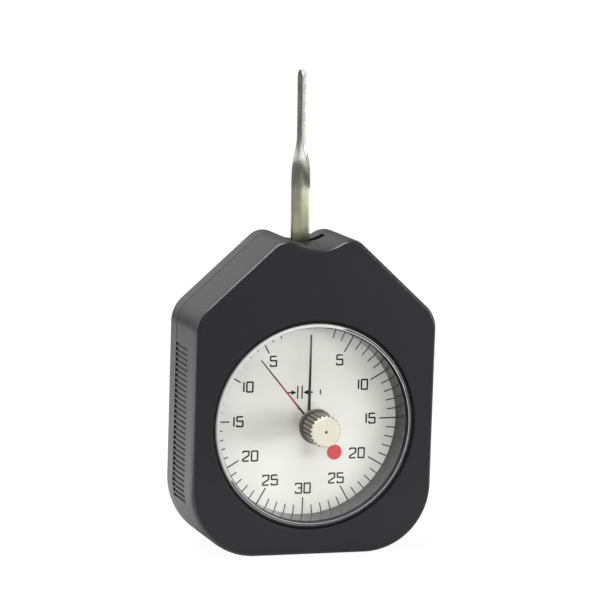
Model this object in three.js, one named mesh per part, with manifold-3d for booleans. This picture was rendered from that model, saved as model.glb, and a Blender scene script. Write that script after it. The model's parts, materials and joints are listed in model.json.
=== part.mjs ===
// Dial tension gauge: a hand-held gauge whose swinging lever turns a pointer over a round dial.
// Lengths are in millimetres. X points right, Y away from the reader of the dial, and Z up.
// The origin is the middle of the flat bottom of the casing, half way between front and back.
import * as THREE from "three";
import { mergeVertices } from "three/addons/utils/BufferGeometryUtils.js";
import Module from "manifold-3d";

const wasm = await Module();
wasm.setup();

// Casing outline
const BODY_WIDTH = 62.8;
const BODY_DEPTH = 23.2;
const AXIS_HEIGHT = 32.8; // dial axis above the flat bottom
const CORNER_RADIUS = 17;
const SHOULDER_RADIUS = 8;
const SLOPE_ANGLE = 42.2; // degrees from level, from shoulder to peak
const PEAK_RADIUS = 5;
const PEAK_OFFSET = 8.15; // from the middle plane to the centre of each peak
const PEAK_HEIGHT = 46.4; // above the dial axis
const SADDLE_DEPTH = 2.2;
const EDGE_ROUND = 1.1;

// Casing shells
const WALL = 1.8;
const REAR_COVER_DEPTH = 5.9;
const SEAM_GAP = 0.3;
const LIP_LENGTH = 1.5;
const LIP_THICKNESS = 1;
const LIP_CLEARANCE = 0.3;
const CASE_BOSS_RADIUS = 3;
const MOUNT_BOSS_RADIUS = 1.9;
const BOSS_ROOT = 0.4; // how far a boss sinks into the wall that it grows from

// Grip slots on both flanks of the front cover
const GRIP_TOP = 18.7; // above the dial axis
const GRIP_LENGTH = 38.5;
const GRIP_PITCH = 1.32;
const GRIP_SLOT_WIDTH = 0.78;
const GRIP_SLOT_DEPTH = 0.8;
const GRIP_FRONT_MARGIN = 6.7; // from the front face to the slots

// Dial window
const WINDOW_BOTTOM_MARGIN = 6.5; // from the window to the flat bottom
const WINDOW_SIDE_MARGIN = 5.1; // from the window to the flanks
const WELL_RIM = 1.2; // wall of the well beyond the window's radius
const CRYSTAL_SEAT = 2; // ledge that the crystal lies on, from the window to the well
const CRYSTAL_EDGE_GAP = 0.8; // round the crystal, filled by its seal
const CRYSTAL_THICKNESS = 2;
const CRYSTAL_PROUD = 0.2;
const CRYSTAL_EDGE_ROUND = 0.8;
const SEAL_HEIGHT = 1.2;
const SEAL_CLEARANCE = 0.1;
const DIAL_THICKNESS = 0.6;
const DIAL_SEAT = 0.7; // how far the dial reaches under the well's rim
const DIAL_BORE = 1.2;
const DIAL_FOOT_RADIUS = 0.6;
const DIAL_FOOT_SPREAD = 7;
const DIAL_FOOT_DROP = 8;

// Main pointer, in front of the dial
const MAIN_POINTER_PLACE_SHARE = 0.457; // of the room from the memory pointer to the dial
const MAIN_POINTER_TIP_GAP = 2.3; // from the needle's tip to the well
const MAIN_POINTER_ROOT_WIDTH = 0.75;
const MAIN_POINTER_TIP_WIDTH = 0.35;
const POINTER_THICKNESS = 0.3;
const MAIN_EYE_RADIUS = 2;
const MAIN_HUB_RADIUS = 1.1;
const MAIN_HUB_FLANGE_RADIUS = 1.8;
const MAIN_HUB_FLANGE = 0.4;
const MAIN_HUB_NOSE = 0.25;
const MAIN_HUB_TAIL = 1.6;

// Memory pointer and reset knob, on the crystal
const MEMORY_ANGLE = 40; // degrees to the left of the main pointer
const MEMORY_POINTER_DROP = 2.9; // from the front face to the middle of the needle
const MEMORY_POINTER_TIP_GAP = 3; // from the needle's tip to the well
const MEMORY_ROOT_WIDTH = 0.5;
const MEMORY_TIP_WIDTH = 0.25;
const MEMORY_TAIL_REACH = 9.45;
const MEMORY_TAIL_WIDTH = 0.6;
const MEMORY_DISC_RADIUS = 1.9;
const MEMORY_EYE_RADIUS = 2.2;
const MEMORY_HUB_RADIUS = 1.3;
const MEMORY_FLANGE_RADIUS = 1.9;
const MEMORY_HUB_NOSE = 0.25;
const DRIVE_TAB_PLACE = 4.6; // from the axis, along the memory needle
const DRIVE_TAB_THICKNESS = 0.3;
const DRIVE_TAB_CLEARANCE = 0.3;
const KNOB_RADIUS = 4;
const KNOB_FACE_HEIGHT = 8.8; // from the crystal to the knob's end face
const KNOB_COLLAR_HEIGHT = 0.9;
const KNOB_COLLAR_RADIUS = 4.4;
const KNOB_NECK_HEIGHT = 0.8; // the plain groove between the collar and the flutes
const KNOB_CHAMFER = 0.35;
const KNOB_CLEARANCE = 0.1;
const KNOB_FLUTES = 22;
const KNOB_FLUTE_DEPTH = 0.4;
const KNOB_RIDGE_SHARE = 0.5; // of the flutes' pitch
const KNOB_BORE_END = 1.4; // metal left between the bore and the end face
const KNOB_DIMPLE_RADIUS = 0.32;
const KNOB_DIMPLE_DEPTH = 0.3;
const STEM_RADIUS = 0.9;
const BUSH_WALL = 0.7;
const BUSH_FLANGE = 0.3;
const BUSH_FLANGE_RADIUS = 2.6;
const CRYSTAL_BORE_CLEARANCE = 0.2;
const WASHER_THICKNESS = 0.3;
const WASHER_RADIUS = 2.4;

// Clearances and small sizes that serve many pieces
const RUNNING_GAP = 0.1;
const SEAT_GAP = 0.1;
const SCREW_GAP = 0.2;
const OVERRUN = 1;
const MERGE_DISTANCE = 0.0001;
const FINE_SIDES = 60;
const ROUND_SIDES = 20;
const SMALL_SIDES = 12;
const DEGREES_PER_FACET = 10;
const DEGREES_PER_COARSE_FACET = 20;

// Gear train
const TOOTH_MODULE = 0.25;
const PINION_TEETH = 12;
const SECTOR_FULL_TEETH = 228; // teeth that a full wheel of the sector's size would have
const SECTOR_TEETH = 16;
const POINTER_TRAVEL = 180; // degrees each way
const ADDENDUM_SHARE = 0.85; // of the module
const DEDENDUM_SHARE = 1.25; // of the module
const TOOTH_ROOT_SHARE = 0.5; // tooth width at root, of the tooth pitch
const TOOTH_TIP_SHARE = 0.2; // tooth width at tip, of the tooth pitch

// Movement frame
const PLATE_THICKNESS = 1;
const DIAL_TO_PLATE = 1.4;
const PLATE_SPACING = 7.4;
const REAR_BEARING_GAP = 0.9; // from the rear bearings to the casing's back wall
const MOUNT_SPREAD = 12.5;
const MOUNT_RISE = 3.2; // of the upper mounts above the lever arbor
const MOUNT_LUG_RADIUS = 3.2;
const PILLAR_RADIUS = 1.8;
const PILLAR_SPREAD = 10;
const PILLAR_DROP = 10.8; // of the upper pillars below the lever arbor
const LOWER_PILLAR_DROP = 14.8; // below the dial axis
const PILLAR_SPIGOT_RADIUS = 1.2;
const PILLAR_HOLE_DEPTH = 3;
const REAR_PLATE_TOP_RADIUS = 6;
const REAR_PLATE_MARGIN = 1.4; // of the rear plate round a pillar
const BEARING_RADIUS = 2;
const BEARING_FLANGE_RADIUS = 2.7;
const BEARING_FLANGE = 0.5;

// Screws
const CASE_SCREW_RADIUS = 1.2;
const CASE_SCREW_LENGTH = 12;
const CASE_SCREW_HEAD_RADIUS = 2.2;
const CASE_SCREW_HEAD = 1.1;
const CASE_SCREW_SINK = 0.2;
const MOUNT_SCREW_RADIUS = 0.8;
const MOUNT_SCREW_LENGTH = 5;
const MOUNT_SCREW_HEAD_RADIUS = 1.7;
const MOUNT_SCREW_HEAD = 0.9;
const PLATE_SCREW_RADIUS = 0.7;
const PLATE_SCREW_LENGTH = 3.4;
const PLATE_SCREW_HEAD_RADIUS = 1.6;
const PLATE_SCREW_HEAD = 0.8;
const SCREW_SLOT_WIDTH = 0.5;
const SCREW_SLOT_DEPTH = 0.4;

// Lever arbor and what turns with it
const LEVER_ARBOR_RADIUS = 1.2;
const PIVOT_RADIUS = 0.6;
const ARBOR_END_PLAY = 0.3;
const SECTOR_OFFSET = 0.8; // from the front plate to the sector
const SECTOR_THICKNESS = 1;
const SECTOR_EYE_RADIUS = 4.2;
const SECTOR_RIM = 3;
const SECTOR_SPOKE = 1.4;
const SECTOR_WINDOW_START = 9; // from the lever arbor
const LEVER_OFFSET = 3.45; // from the front plate to the blade
const HUB_RADIUS = 2.2;
const HUB_FLANGE_RADIUS = 4;
const HUB_MARGIN = 0.3; // of the hub beyond the sector and the blade
const BLADE_EYE_RADIUS = 4.2;
const BLADE_WIDTH = 4.8;
const BLADE_THICKNESS = 1;
const BLADE_TOP_WIDTH = 4.3;
const BLADE_CORNER = 0.15;
const BLADE_TIP_HEIGHT = 87.3; // above the dial axis
const BLADE_TIP_FLAT = 0.6; // left at the top of the round end
const BLADE_LEAN = 1.1; // degrees to the left at rest, as its clutch holds it
const TWIST_START = 57; // above the dial axis
const TWIST_END = 70.5;
const TWIST_STEPS = 14;
const TIP_STEPS = 5;
const SLOT_FRONT_MARGIN = 1.05; // of the lever's slot in front of the blade
const SLOT_CLEARANCE = 0.4;
const STOP_PIN_RADIUS = 0.8;
const STOP_PIN_PLACE = 20; // from the lever arbor
const STOP_CLEARANCE = 0.3;

// Springs, their collets and studs
const SPRING_TURNS = 5;
const SPRING_SIDES = 16; // in each turn
const MEASURING_SPRING_PITCH = 1.1;
const MEASURING_SPRING_THICKNESS = 0.3;
const MEASURING_SPRING_WIDTH = 1.2;
const MEASURING_SPRING_OFFSET = 5.3;
const SPRING_COLLET_RADIUS = 2.3;
const HAIRSPRING_PITCH = 0.8;
const HAIRSPRING_THICKNESS = 0.15;
const HAIRSPRING_WIDTH = 0.6;
const HAIRSPRING_OFFSET = 4.7;
const HAIR_COLLET_RADIUS = 1.8;
const COLLET_MARGIN = 0.1; // of a collet beyond each edge of its spring
const SPRING_CLEARANCE = 0.3;
const STUD_RADIUS = 0.7;
const MEASURING_STUD_ANGLE = 215;
const HAIR_STUD_ANGLE = 135;

// Centre arbor
const CENTRE_ARBOR_RADIUS = 0.9;
const PINION_OFFSET = 0.5; // from the front plate to the pinion
const PINION_LENGTH = 1.6;

// Depths worked out from the sizes above, from front to back
const FRONT = -BODY_DEPTH / 2;
const BACK = BODY_DEPTH / 2;
const REAR_COVER_FRONT = BACK - REAR_COVER_DEPTH;
const SEAM = REAR_COVER_FRONT - SEAM_GAP;
const FRONT_WALL = FRONT + WALL;
const REAR_WALL = BACK - WALL;
const CRYSTAL_TOP = FRONT - CRYSTAL_PROUD;
const CRYSTAL_BOTTOM = CRYSTAL_TOP + CRYSTAL_THICKNESS;
const REAR_PLATE_BACK = REAR_WALL - REAR_BEARING_GAP - BEARING_FLANGE;
const REAR_PLATE_FACE = REAR_PLATE_BACK - PLATE_THICKNESS;
const FRONT_PLATE_BACK = REAR_PLATE_FACE - PLATE_SPACING;
const FRONT_PLATE_FACE = FRONT_PLATE_BACK - PLATE_THICKNESS;
const DIAL_BACK = FRONT_PLATE_FACE - DIAL_TO_PLATE;
const DIAL_FACE = DIAL_BACK - DIAL_THICKNESS;
const MEMORY_NEEDLE_FRONT = FRONT + MEMORY_POINTER_DROP - POINTER_THICKNESS / 2;
const MEMORY_NEEDLE_BACK = MEMORY_NEEDLE_FRONT + POINTER_THICKNESS;
const MAIN_NEEDLE_ROOM = DIAL_FACE - MEMORY_NEEDLE_BACK - POINTER_THICKNESS;
const MAIN_NEEDLE_FRONT = MEMORY_NEEDLE_BACK + MAIN_POINTER_PLACE_SHARE * MAIN_NEEDLE_ROOM;
const MAIN_NEEDLE_BACK = MAIN_NEEDLE_FRONT + POINTER_THICKNESS;
const BLADE_FRONT = FRONT_PLATE_BACK + LEVER_OFFSET;
const BLADE_BACK = BLADE_FRONT + BLADE_THICKNESS;
const SECTOR_FRONT = FRONT_PLATE_BACK + SECTOR_OFFSET;
const SECTOR_BACK = SECTOR_FRONT + SECTOR_THICKNESS;

// Heights and radii worked out from the sizes above
const SECTOR_PITCH_RADIUS = (SECTOR_FULL_TEETH * TOOTH_MODULE) / 2;
const PINION_PITCH_RADIUS = (PINION_TEETH * TOOTH_MODULE) / 2;
const ARBOR_HEIGHT = AXIS_HEIGHT + SECTOR_PITCH_RADIUS + PINION_PITCH_RADIUS;
const LEVER_SWING = (POINTER_TRAVEL * PINION_TEETH) / SECTOR_FULL_TEETH; // degrees each way
const SADDLE_RADIUS = (PEAK_OFFSET ** 2 + SADDLE_DEPTH ** 2) / (2 * SADDLE_DEPTH) - PEAK_RADIUS;
const SADDLE_HEIGHT = AXIS_HEIGHT + PEAK_HEIGHT - SADDLE_DEPTH;
const WINDOW_RADIUS = Math.min(
  AXIS_HEIGHT - WINDOW_BOTTOM_MARGIN,
  BODY_WIDTH / 2 - WINDOW_SIDE_MARGIN,
);
const WELL_RADIUS = WINDOW_RADIUS - CRYSTAL_SEAT;
const CRYSTAL_RADIUS = WINDOW_RADIUS - CRYSTAL_EDGE_GAP;
const MAIN_POINTER_REACH = WELL_RADIUS - MAIN_POINTER_TIP_GAP;
const MEMORY_POINTER_REACH = WELL_RADIUS - MEMORY_POINTER_TIP_GAP;
const TUBE_RADIUS = WINDOW_RADIUS + WELL_RIM;
const DIAL_RADIUS = WELL_RADIUS + DIAL_SEAT;
const STEM_BORE = STEM_RADIUS + RUNNING_GAP;
const BUSH_RADIUS = STEM_BORE + BUSH_WALL;
const CRYSTAL_BORE = BUSH_RADIUS + CRYSTAL_BORE_CLEARANCE;
const BUSH_TOP = CRYSTAL_TOP - BUSH_FLANGE;
const KNOB_BOTTOM = BUSH_TOP - KNOB_CLEARANCE;
const KNOB_FACE = CRYSTAL_TOP - KNOB_FACE_HEIGHT;
const WASHER_BACK = CRYSTAL_BOTTOM + WASHER_THICKNESS;
const MEMORY_HUB_END = MEMORY_NEEDLE_BACK + MEMORY_HUB_NOSE;
const HUB_BORE = LEVER_ARBOR_RADIUS + RUNNING_GAP;
const LOWER_MOUNT_HEIGHT = AXIS_HEIGHT - DIAL_RADIUS - STOP_CLEARANCE - MOUNT_BOSS_RADIUS;

const radians = THREE.MathUtils.degToRad;

const paint = (color, roughness, metalness) =>
  new THREE.MeshStandardMaterial({ color, roughness, metalness });
const MATERIALS = {
  casing: paint(0x3a3a3d, 0.55, 0),
  crystal: new THREE.MeshStandardMaterial({
    color: 0xf4f6f6,
    roughness: 0.05,
    metalness: 0,
    transparent: true,
    opacity: 0.25,
  }),
  rubber: paint(0x111113, 0.7, 0),
  dial: paint(0xdcdcd6, 0.5, 0),
  black: paint(0x16161a, 0.45, 0.1),
  red: paint(0xd44855, 0.5, 0),
  nickel: paint(0xb9b7a4, 0.25, 1),
  knob: paint(0xe4e1cd, 0.35, 0.8),
  steel: paint(0x9b9da0, 0.35, 1),
  brass: paint(0xc29b53, 0.35, 1),
};

// Points along a circle's arc, in degrees counted from +X towards +Z.
function arc(x, z, radius, from, to, facet = DEGREES_PER_FACET) {
  const count = Math.max(2, Math.ceil(Math.abs(to - from) / facet));
  return Array.from({ length: count + 1 }, (_, i) => {
    const angle = radians(from + ((to - from) * i) / count);
    return new THREE.Vector2(x + radius * Math.cos(angle), z + radius * Math.sin(angle));
  });
}

function circle(x, z, radius, sides = ROUND_SIDES) {
  return Array.from({ length: sides }, (_, i) => {
    const angle = (2 * Math.PI * i) / sides;
    return new THREE.Vector2(x + radius * Math.cos(angle), z + radius * Math.sin(angle));
  });
}

function rectangle(left, bottom, right, top) {
  return [
    new THREE.Vector2(left, bottom),
    new THREE.Vector2(right, bottom),
    new THREE.Vector2(right, top),
    new THREE.Vector2(left, top),
  ];
}

// The smallest convex outline round some circles, each given as x, z and radius.
function hull(circles) {
  const points = circles
    .flatMap(([x, z, radius]) => circle(x, z, radius))
    .sort((a, b) => a.x - b.x || a.y - b.y);
  const turn = (o, a, b) => (a.x - o.x) * (b.y - o.y) - (a.y - o.y) * (b.x - o.x);
  const chain = (list) => {
    const kept = [];
    for (const point of list) {
      while (kept.length > 1 && turn(kept.at(-2), kept.at(-1), point) <= 0) kept.pop();
      kept.push(point);
    }
    return kept.slice(0, -1);
  };
  return [...chain(points), ...chain([...points].reverse())];
}

// An outline in the X-Z plane made solid from one depth to another.
function prism(outline, front, back, holes = []) {
  const shape = new THREE.Shape(outline);
  shape.holes = holes.map((hole) => new THREE.Path(hole));
  const geometry = new THREE.ExtrudeGeometry(shape, { depth: back - front, bevelEnabled: false });
  return geometry.rotateX(Math.PI / 2).translate(0, back, 0);
}

// A profile of radius and depth pairs, turned round a line along Y.
function turned(profile, x = 0, z = 0, sides = ROUND_SIDES) {
  const points = profile.map(([radius, depth]) => new THREE.Vector2(radius, depth));
  return new THREE.LatheGeometry(points, sides).translate(x, 0, z);
}

function rod(radius, front, back, x = 0, z = 0, sides = ROUND_SIDES) {
  return turned([[0, front], [radius, front], [radius, back], [0, back]], x, z, sides);
}

function ring(inner, outer, front, back, x = 0, z = 0, sides = ROUND_SIDES) {
  const profile = [[inner, front], [outer, front], [outer, back], [inner, back], [inner, front]];
  return turned(profile, x, z, sides);
}

function box(left, right, front, back, bottom, top) {
  const geometry = new THREE.BoxGeometry(right - left, back - front, top - bottom);
  return geometry.translate((left + right) / 2, (front + back) / 2, (bottom + top) / 2);
}

function solidOf(geometry) {
  const bare = geometry.clone();
  bare.deleteAttribute("normal");
  bare.deleteAttribute("uv");
  const merged = mergeVertices(bare, MERGE_DISTANCE);
  const vertProperties = merged.attributes.position.array;
  const triVerts = new Uint32Array(merged.index.array);
  return new wasm.Manifold(new wasm.Mesh({ numProp: 3, vertProperties, triVerts }));
}

function geometryOf(solid) {
  const { vertProperties, triVerts } = solid.getMesh();
  const geometry = new THREE.BufferGeometry();
  geometry.setAttribute("position", new THREE.BufferAttribute(vertProperties, 3));
  geometry.setIndex(new THREE.BufferAttribute(triVerts, 1));
  geometry.computeVertexNormals();
  return geometry;
}

// One geometry with others joined to it and then others cut from it.
function carve(start, { add = [], cut = [] }) {
  const joined = add.reduce((solid, piece) => solid.add(solidOf(piece)), solidOf(start));
  return geometryOf(cut.reduce((solid, piece) => solid.subtract(solidOf(piece)), joined));
}

function piece(group, name, geometry, material) {
  const mesh = new THREE.Mesh(geometry, material);
  mesh.name = name;
  group.add(mesh);
}

// Circle centres of the casing's outline. The slope from shoulder to peak touches both circles,
// which gives the shoulder's height.
const SLOPE_NORMAL = 90 - SLOPE_ANGLE;
const CORNER_X = BODY_WIDTH / 2 - CORNER_RADIUS;
const SHOULDER_X = BODY_WIDTH / 2 - SHOULDER_RADIUS;
const PEAK_Z = AXIS_HEIGHT + PEAK_HEIGHT - PEAK_RADIUS;
const SHOULDER_Z =
  (Math.cos(radians(SLOPE_NORMAL)) * (PEAK_OFFSET - SHOULDER_X) + PEAK_RADIUS - SHOULDER_RADIUS) /
    Math.sin(radians(SLOPE_NORMAL)) +
  PEAK_Z;
const SADDLE_SLOPE = THREE.MathUtils.radToDeg(Math.asin(PEAK_OFFSET / (SADDLE_RADIUS + PEAK_RADIUS)));

// The casing's outline, drawn in by the same distance all round.
function caseOutline(inset) {
  const right = [
    ...arc(CORNER_X, CORNER_RADIUS, CORNER_RADIUS - inset, -90, 0),
    ...arc(SHOULDER_X, SHOULDER_Z, SHOULDER_RADIUS - inset, 0, SLOPE_NORMAL),
    ...arc(PEAK_OFFSET, PEAK_Z, PEAK_RADIUS - inset, SLOPE_NORMAL, 90 + SADDLE_SLOPE),
  ];
  const saddleZ = SADDLE_HEIGHT + SADDLE_RADIUS;
  const saddle = arc(0, saddleZ, SADDLE_RADIUS + inset, SADDLE_SLOPE - 90, -SADDLE_SLOPE - 90);
  const left = right.map((point) => new THREE.Vector2(-point.x, point.y)).reverse();
  return [...right, ...saddle.slice(1, -1), ...left];
}

// The whole casing as one block, its front and back edges rounded.
function caseBlock() {
  const geometry = new THREE.ExtrudeGeometry(new THREE.Shape(caseOutline(0)), {
    depth: BODY_DEPTH - 2 * EDGE_ROUND,
    bevelSize: EDGE_ROUND,
    bevelThickness: EDGE_ROUND,
    bevelOffset: -EDGE_ROUND,
    bevelSegments: 3,
  });
  return geometry.rotateX(Math.PI / 2).translate(0, BACK - EDGE_ROUND, 0);
}

// Half the casing's width at a height, down in the bottom corners.
function flankX(z) {
  const drop = Math.max(0, CORNER_RADIUS - z);
  return CORNER_X + Math.sqrt(CORNER_RADIUS ** 2 - drop ** 2);
}

function caseBossPlaces() {
  const cornerReach = CORNER_RADIUS - WALL - CASE_BOSS_RADIUS + BOSS_ROOT;
  const shoulderReach = SHOULDER_RADIUS - WALL - CASE_BOSS_RADIUS + BOSS_ROOT;
  const cornerX = CORNER_X + cornerReach * Math.SQRT1_2;
  const cornerZ = CORNER_RADIUS - cornerReach * Math.SQRT1_2;
  const shoulderX = SHOULDER_X + shoulderReach * Math.cos(radians(SLOPE_NORMAL / 2));
  const shoulderZ = SHOULDER_Z + shoulderReach * Math.sin(radians(SLOPE_NORMAL / 2));
  return [[-cornerX, cornerZ], [cornerX, cornerZ], [-shoulderX, shoulderZ], [shoulderX, shoulderZ]];
}

const CASE_BOSSES = caseBossPlaces();
const MOUNTS = [
  [-MOUNT_SPREAD, ARBOR_HEIGHT + MOUNT_RISE],
  [MOUNT_SPREAD, ARBOR_HEIGHT + MOUNT_RISE],
  [0, LOWER_MOUNT_HEIGHT],
];
const PILLARS = [
  [-PILLAR_SPREAD, ARBOR_HEIGHT - PILLAR_DROP],
  [PILLAR_SPREAD, ARBOR_HEIGHT - PILLAR_DROP],
  [0, AXIS_HEIGHT - LOWER_PILLAR_DROP],
];

// The opening in the saddle that the lever swings in, from the casing's inside to above its top.
function leverSlot(back) {
  const reach = SADDLE_HEIGHT + SADDLE_DEPTH - ARBOR_HEIGHT;
  const swing = reach * Math.tan(radians(LEVER_SWING + BLADE_LEAN));
  const half = BLADE_WIDTH / 2 + swing + SLOT_CLEARANCE;
  const top = SADDLE_HEIGHT + SADDLE_DEPTH + OVERRUN;
  const bottom = SADDLE_HEIGHT - WALL - LIP_CLEARANCE - LIP_THICKNESS - OVERRUN;
  return box(-half, half, BLADE_FRONT - SLOT_FRONT_MARGIN, back, bottom, top);
}

function gripSlots() {
  const count = Math.floor(GRIP_LENGTH / GRIP_PITCH) + 1;
  const front = FRONT + GRIP_FRONT_MARGIN;
  return Array.from({ length: count }, (_, i) => {
    const z = AXIS_HEIGHT + GRIP_TOP - i * GRIP_PITCH;
    const floor = flankX(z) - GRIP_SLOT_DEPTH;
    const bottom = z - GRIP_SLOT_WIDTH / 2;
    const top = z + GRIP_SLOT_WIDTH / 2;
    const outside = BODY_WIDTH / 2 + OVERRUN;
    return [
      box(floor, outside, front, SEAM + OVERRUN, bottom, top),
      box(-outside, -floor, front, SEAM + OVERRUN, bottom, top),
    ];
  }).flat();
}

function frontCover() {
  const inner = caseOutline(WALL);
  const behind = SEAM + OVERRUN;
  const width = BODY_WIDTH / 2 + OVERRUN;
  const top = SADDLE_HEIGHT + SADDLE_DEPTH + OVERRUN;
  const shell = carve(caseBlock(), {
    cut: [box(-width, width, SEAM, BACK + OVERRUN, -OVERRUN, top), prism(inner, FRONT_WALL, behind)],
  });
  const well = rod(TUBE_RADIUS, FRONT_WALL - BOSS_ROOT, DIAL_FACE, 0, AXIS_HEIGHT, FINE_SIDES);
  const caseBosses = CASE_BOSSES.map(([x, z]) =>
    rod(CASE_BOSS_RADIUS, FRONT_WALL - BOSS_ROOT, SEAM, x, z),
  );
  const mountBosses = MOUNTS.map(([x, z]) =>
    rod(MOUNT_BOSS_RADIUS, FRONT_WALL - BOSS_ROOT, FRONT_PLATE_FACE, x, z, SMALL_SIDES),
  );
  const caseHoles = CASE_BOSSES.map(([x, z]) =>
    rod(CASE_SCREW_RADIUS + SCREW_GAP, caseScrewEnd() - OVERRUN, behind, x, z, SMALL_SIDES),
  );
  const mountHoles = MOUNTS.map(([x, z]) => {
    const end = FRONT_PLATE_BACK - MOUNT_SCREW_LENGTH - SCREW_GAP;
    return rod(MOUNT_SCREW_RADIUS + SCREW_GAP, end, FRONT_PLATE_FACE + OVERRUN, x, z, SMALL_SIDES);
  });
  return carve(shell, {
    add: [well, ...caseBosses, ...mountBosses],
    cut: [
      rod(WELL_RADIUS, FRONT - OVERRUN, DIAL_FACE + OVERRUN, 0, AXIS_HEIGHT, FINE_SIDES),
      rod(WINDOW_RADIUS, FRONT - OVERRUN, CRYSTAL_BOTTOM, 0, AXIS_HEIGHT, FINE_SIDES),
      leverSlot(SEAM + OVERRUN),
      ...caseHoles,
      ...mountHoles,
      ...gripSlots(),
    ],
  });
}

function rearCover() {
  const width = BODY_WIDTH / 2 + OVERRUN;
  const top = SADDLE_HEIGHT + SADDLE_DEPTH + OVERRUN;
  const front = REAR_COVER_FRONT;
  const shell = carve(caseBlock(), {
    cut: [
      box(-width, width, FRONT - OVERRUN, front, -OVERRUN, top),
      prism(caseOutline(WALL + LIP_CLEARANCE + LIP_THICKNESS), front - OVERRUN, REAR_WALL),
    ],
  });
  const lipOuter = caseOutline(WALL + LIP_CLEARANCE);
  const lipInner = caseOutline(WALL + LIP_CLEARANCE + LIP_THICKNESS);
  const lip = carve(prism(lipOuter, front - LIP_LENGTH, front + BOSS_ROOT), {
    cut: [
      prism(lipInner, front - LIP_LENGTH - OVERRUN, front + OVERRUN),
      ...CASE_BOSSES.map(([x, z]) =>
        rod(CASE_BOSS_RADIUS + LIP_CLEARANCE, front - LIP_LENGTH - OVERRUN, front, x, z),
      ),
    ],
  });
  const bosses = CASE_BOSSES.map(([x, z]) => rod(CASE_BOSS_RADIUS, front, REAR_WALL + BOSS_ROOT, x, z));
  const holes = CASE_BOSSES.flatMap(([x, z]) => [
    rod(CASE_SCREW_RADIUS + SCREW_GAP, front - OVERRUN, BACK + OVERRUN, x, z, SMALL_SIDES),
    rod(CASE_SCREW_HEAD_RADIUS + SCREW_GAP, caseScrewSeat(), BACK + OVERRUN, x, z, ROUND_SIDES),
  ]);
  return carve(shell, { add: [lip, ...bosses], cut: [leverSlot(front), ...holes] });
}

function caseScrewSeat() {
  return BACK - CASE_SCREW_SINK - CASE_SCREW_HEAD;
}

function caseScrewEnd() {
  return caseScrewSeat() - CASE_SCREW_LENGTH;
}

// A slotted screw put in from the back: its shank reaches forward from the seat of its head.
function screw(shankRadius, length, headRadius, head, seat, x, z) {
  const profile = [
    [0, seat - length],
    [shankRadius, seat - length],
    [shankRadius, seat],
    [headRadius, seat],
    [headRadius, seat + head],
    [0, seat + head],
  ];
  const reach = headRadius + OVERRUN;
  const half = SCREW_SLOT_WIDTH / 2;
  const slotFloor = seat + head - SCREW_SLOT_DEPTH;
  return carve(turned(profile, x, z, SMALL_SIDES), {
    cut: [box(x - reach, x + reach, slotFloor, seat + head + OVERRUN, z - half, z + half)],
  });
}

// The clear disc over the dial, its front edge rounded and its middle bored for the knob's bush.
function crystal() {
  const round = CRYSTAL_EDGE_ROUND;
  const coarse = DEGREES_PER_COARSE_FACET;
  const edge = arc(CRYSTAL_RADIUS - round, CRYSTAL_TOP + round, round, -90, 0, coarse);
  const profile = [
    [CRYSTAL_BORE, CRYSTAL_TOP],
    ...edge.map((point) => [point.x, point.y]),
    [CRYSTAL_RADIUS, CRYSTAL_BOTTOM],
    [CRYSTAL_BORE, CRYSTAL_BOTTOM],
    [CRYSTAL_BORE, CRYSTAL_TOP],
  ];
  return turned(profile, 0, 0, FINE_SIDES);
}

function crystalSeal() {
  const inner = CRYSTAL_RADIUS + SEAL_CLEARANCE;
  const outer = WINDOW_RADIUS - SEAL_CLEARANCE;
  return ring(inner, outer, CRYSTAL_BOTTOM - SEAL_HEIGHT, CRYSTAL_BOTTOM, 0, 0, FINE_SIDES);
}

function knobBush() {
  return turned([
    [STEM_BORE, BUSH_TOP],
    [BUSH_FLANGE_RADIUS, BUSH_TOP],
    [BUSH_FLANGE_RADIUS, CRYSTAL_TOP],
    [BUSH_RADIUS, CRYSTAL_TOP],
    [BUSH_RADIUS, CRYSTAL_BOTTOM],
    [STEM_BORE, CRYSTAL_BOTTOM],
    [STEM_BORE, BUSH_TOP],
  ]);
}

function dialPlate() {
  const feet = [-DIAL_FOOT_SPREAD, DIAL_FOOT_SPREAD].map((x) =>
    rod(DIAL_FOOT_RADIUS, DIAL_FACE, FRONT_PLATE_BACK - SEAT_GAP, x, -DIAL_FOOT_DROP, SMALL_SIDES),
  );
  return carve(rod(DIAL_RADIUS, DIAL_FACE, DIAL_BACK, 0, 0, FINE_SIDES), {
    add: feet,
    cut: [rod(DIAL_BORE, DIAL_FACE - OVERRUN, DIAL_BACK + OVERRUN)],
  });
}

// A flat needle that points up, as wide at the axis and at the tip as given.
function needle(rootWidth, tipWidth, reach, front) {
  const outline = [
    new THREE.Vector2(-rootWidth / 2, 0),
    new THREE.Vector2(rootWidth / 2, 0),
    new THREE.Vector2(tipWidth / 2, reach),
    new THREE.Vector2(-tipWidth / 2, reach),
  ];
  return prism(outline, front, front + POINTER_THICKNESS);
}

function mainPointer() {
  const front = MAIN_NEEDLE_FRONT;
  const back = MAIN_NEEDLE_BACK;
  const blade = needle(MAIN_POINTER_ROOT_WIDTH, MAIN_POINTER_TIP_WIDTH, MAIN_POINTER_REACH, front);
  return carve(blade, {
    add: [rod(MAIN_EYE_RADIUS, front, back)],
    cut: [rod(MAIN_HUB_RADIUS + SEAT_GAP, front - OVERRUN, back + OVERRUN)],
  });
}

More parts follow.
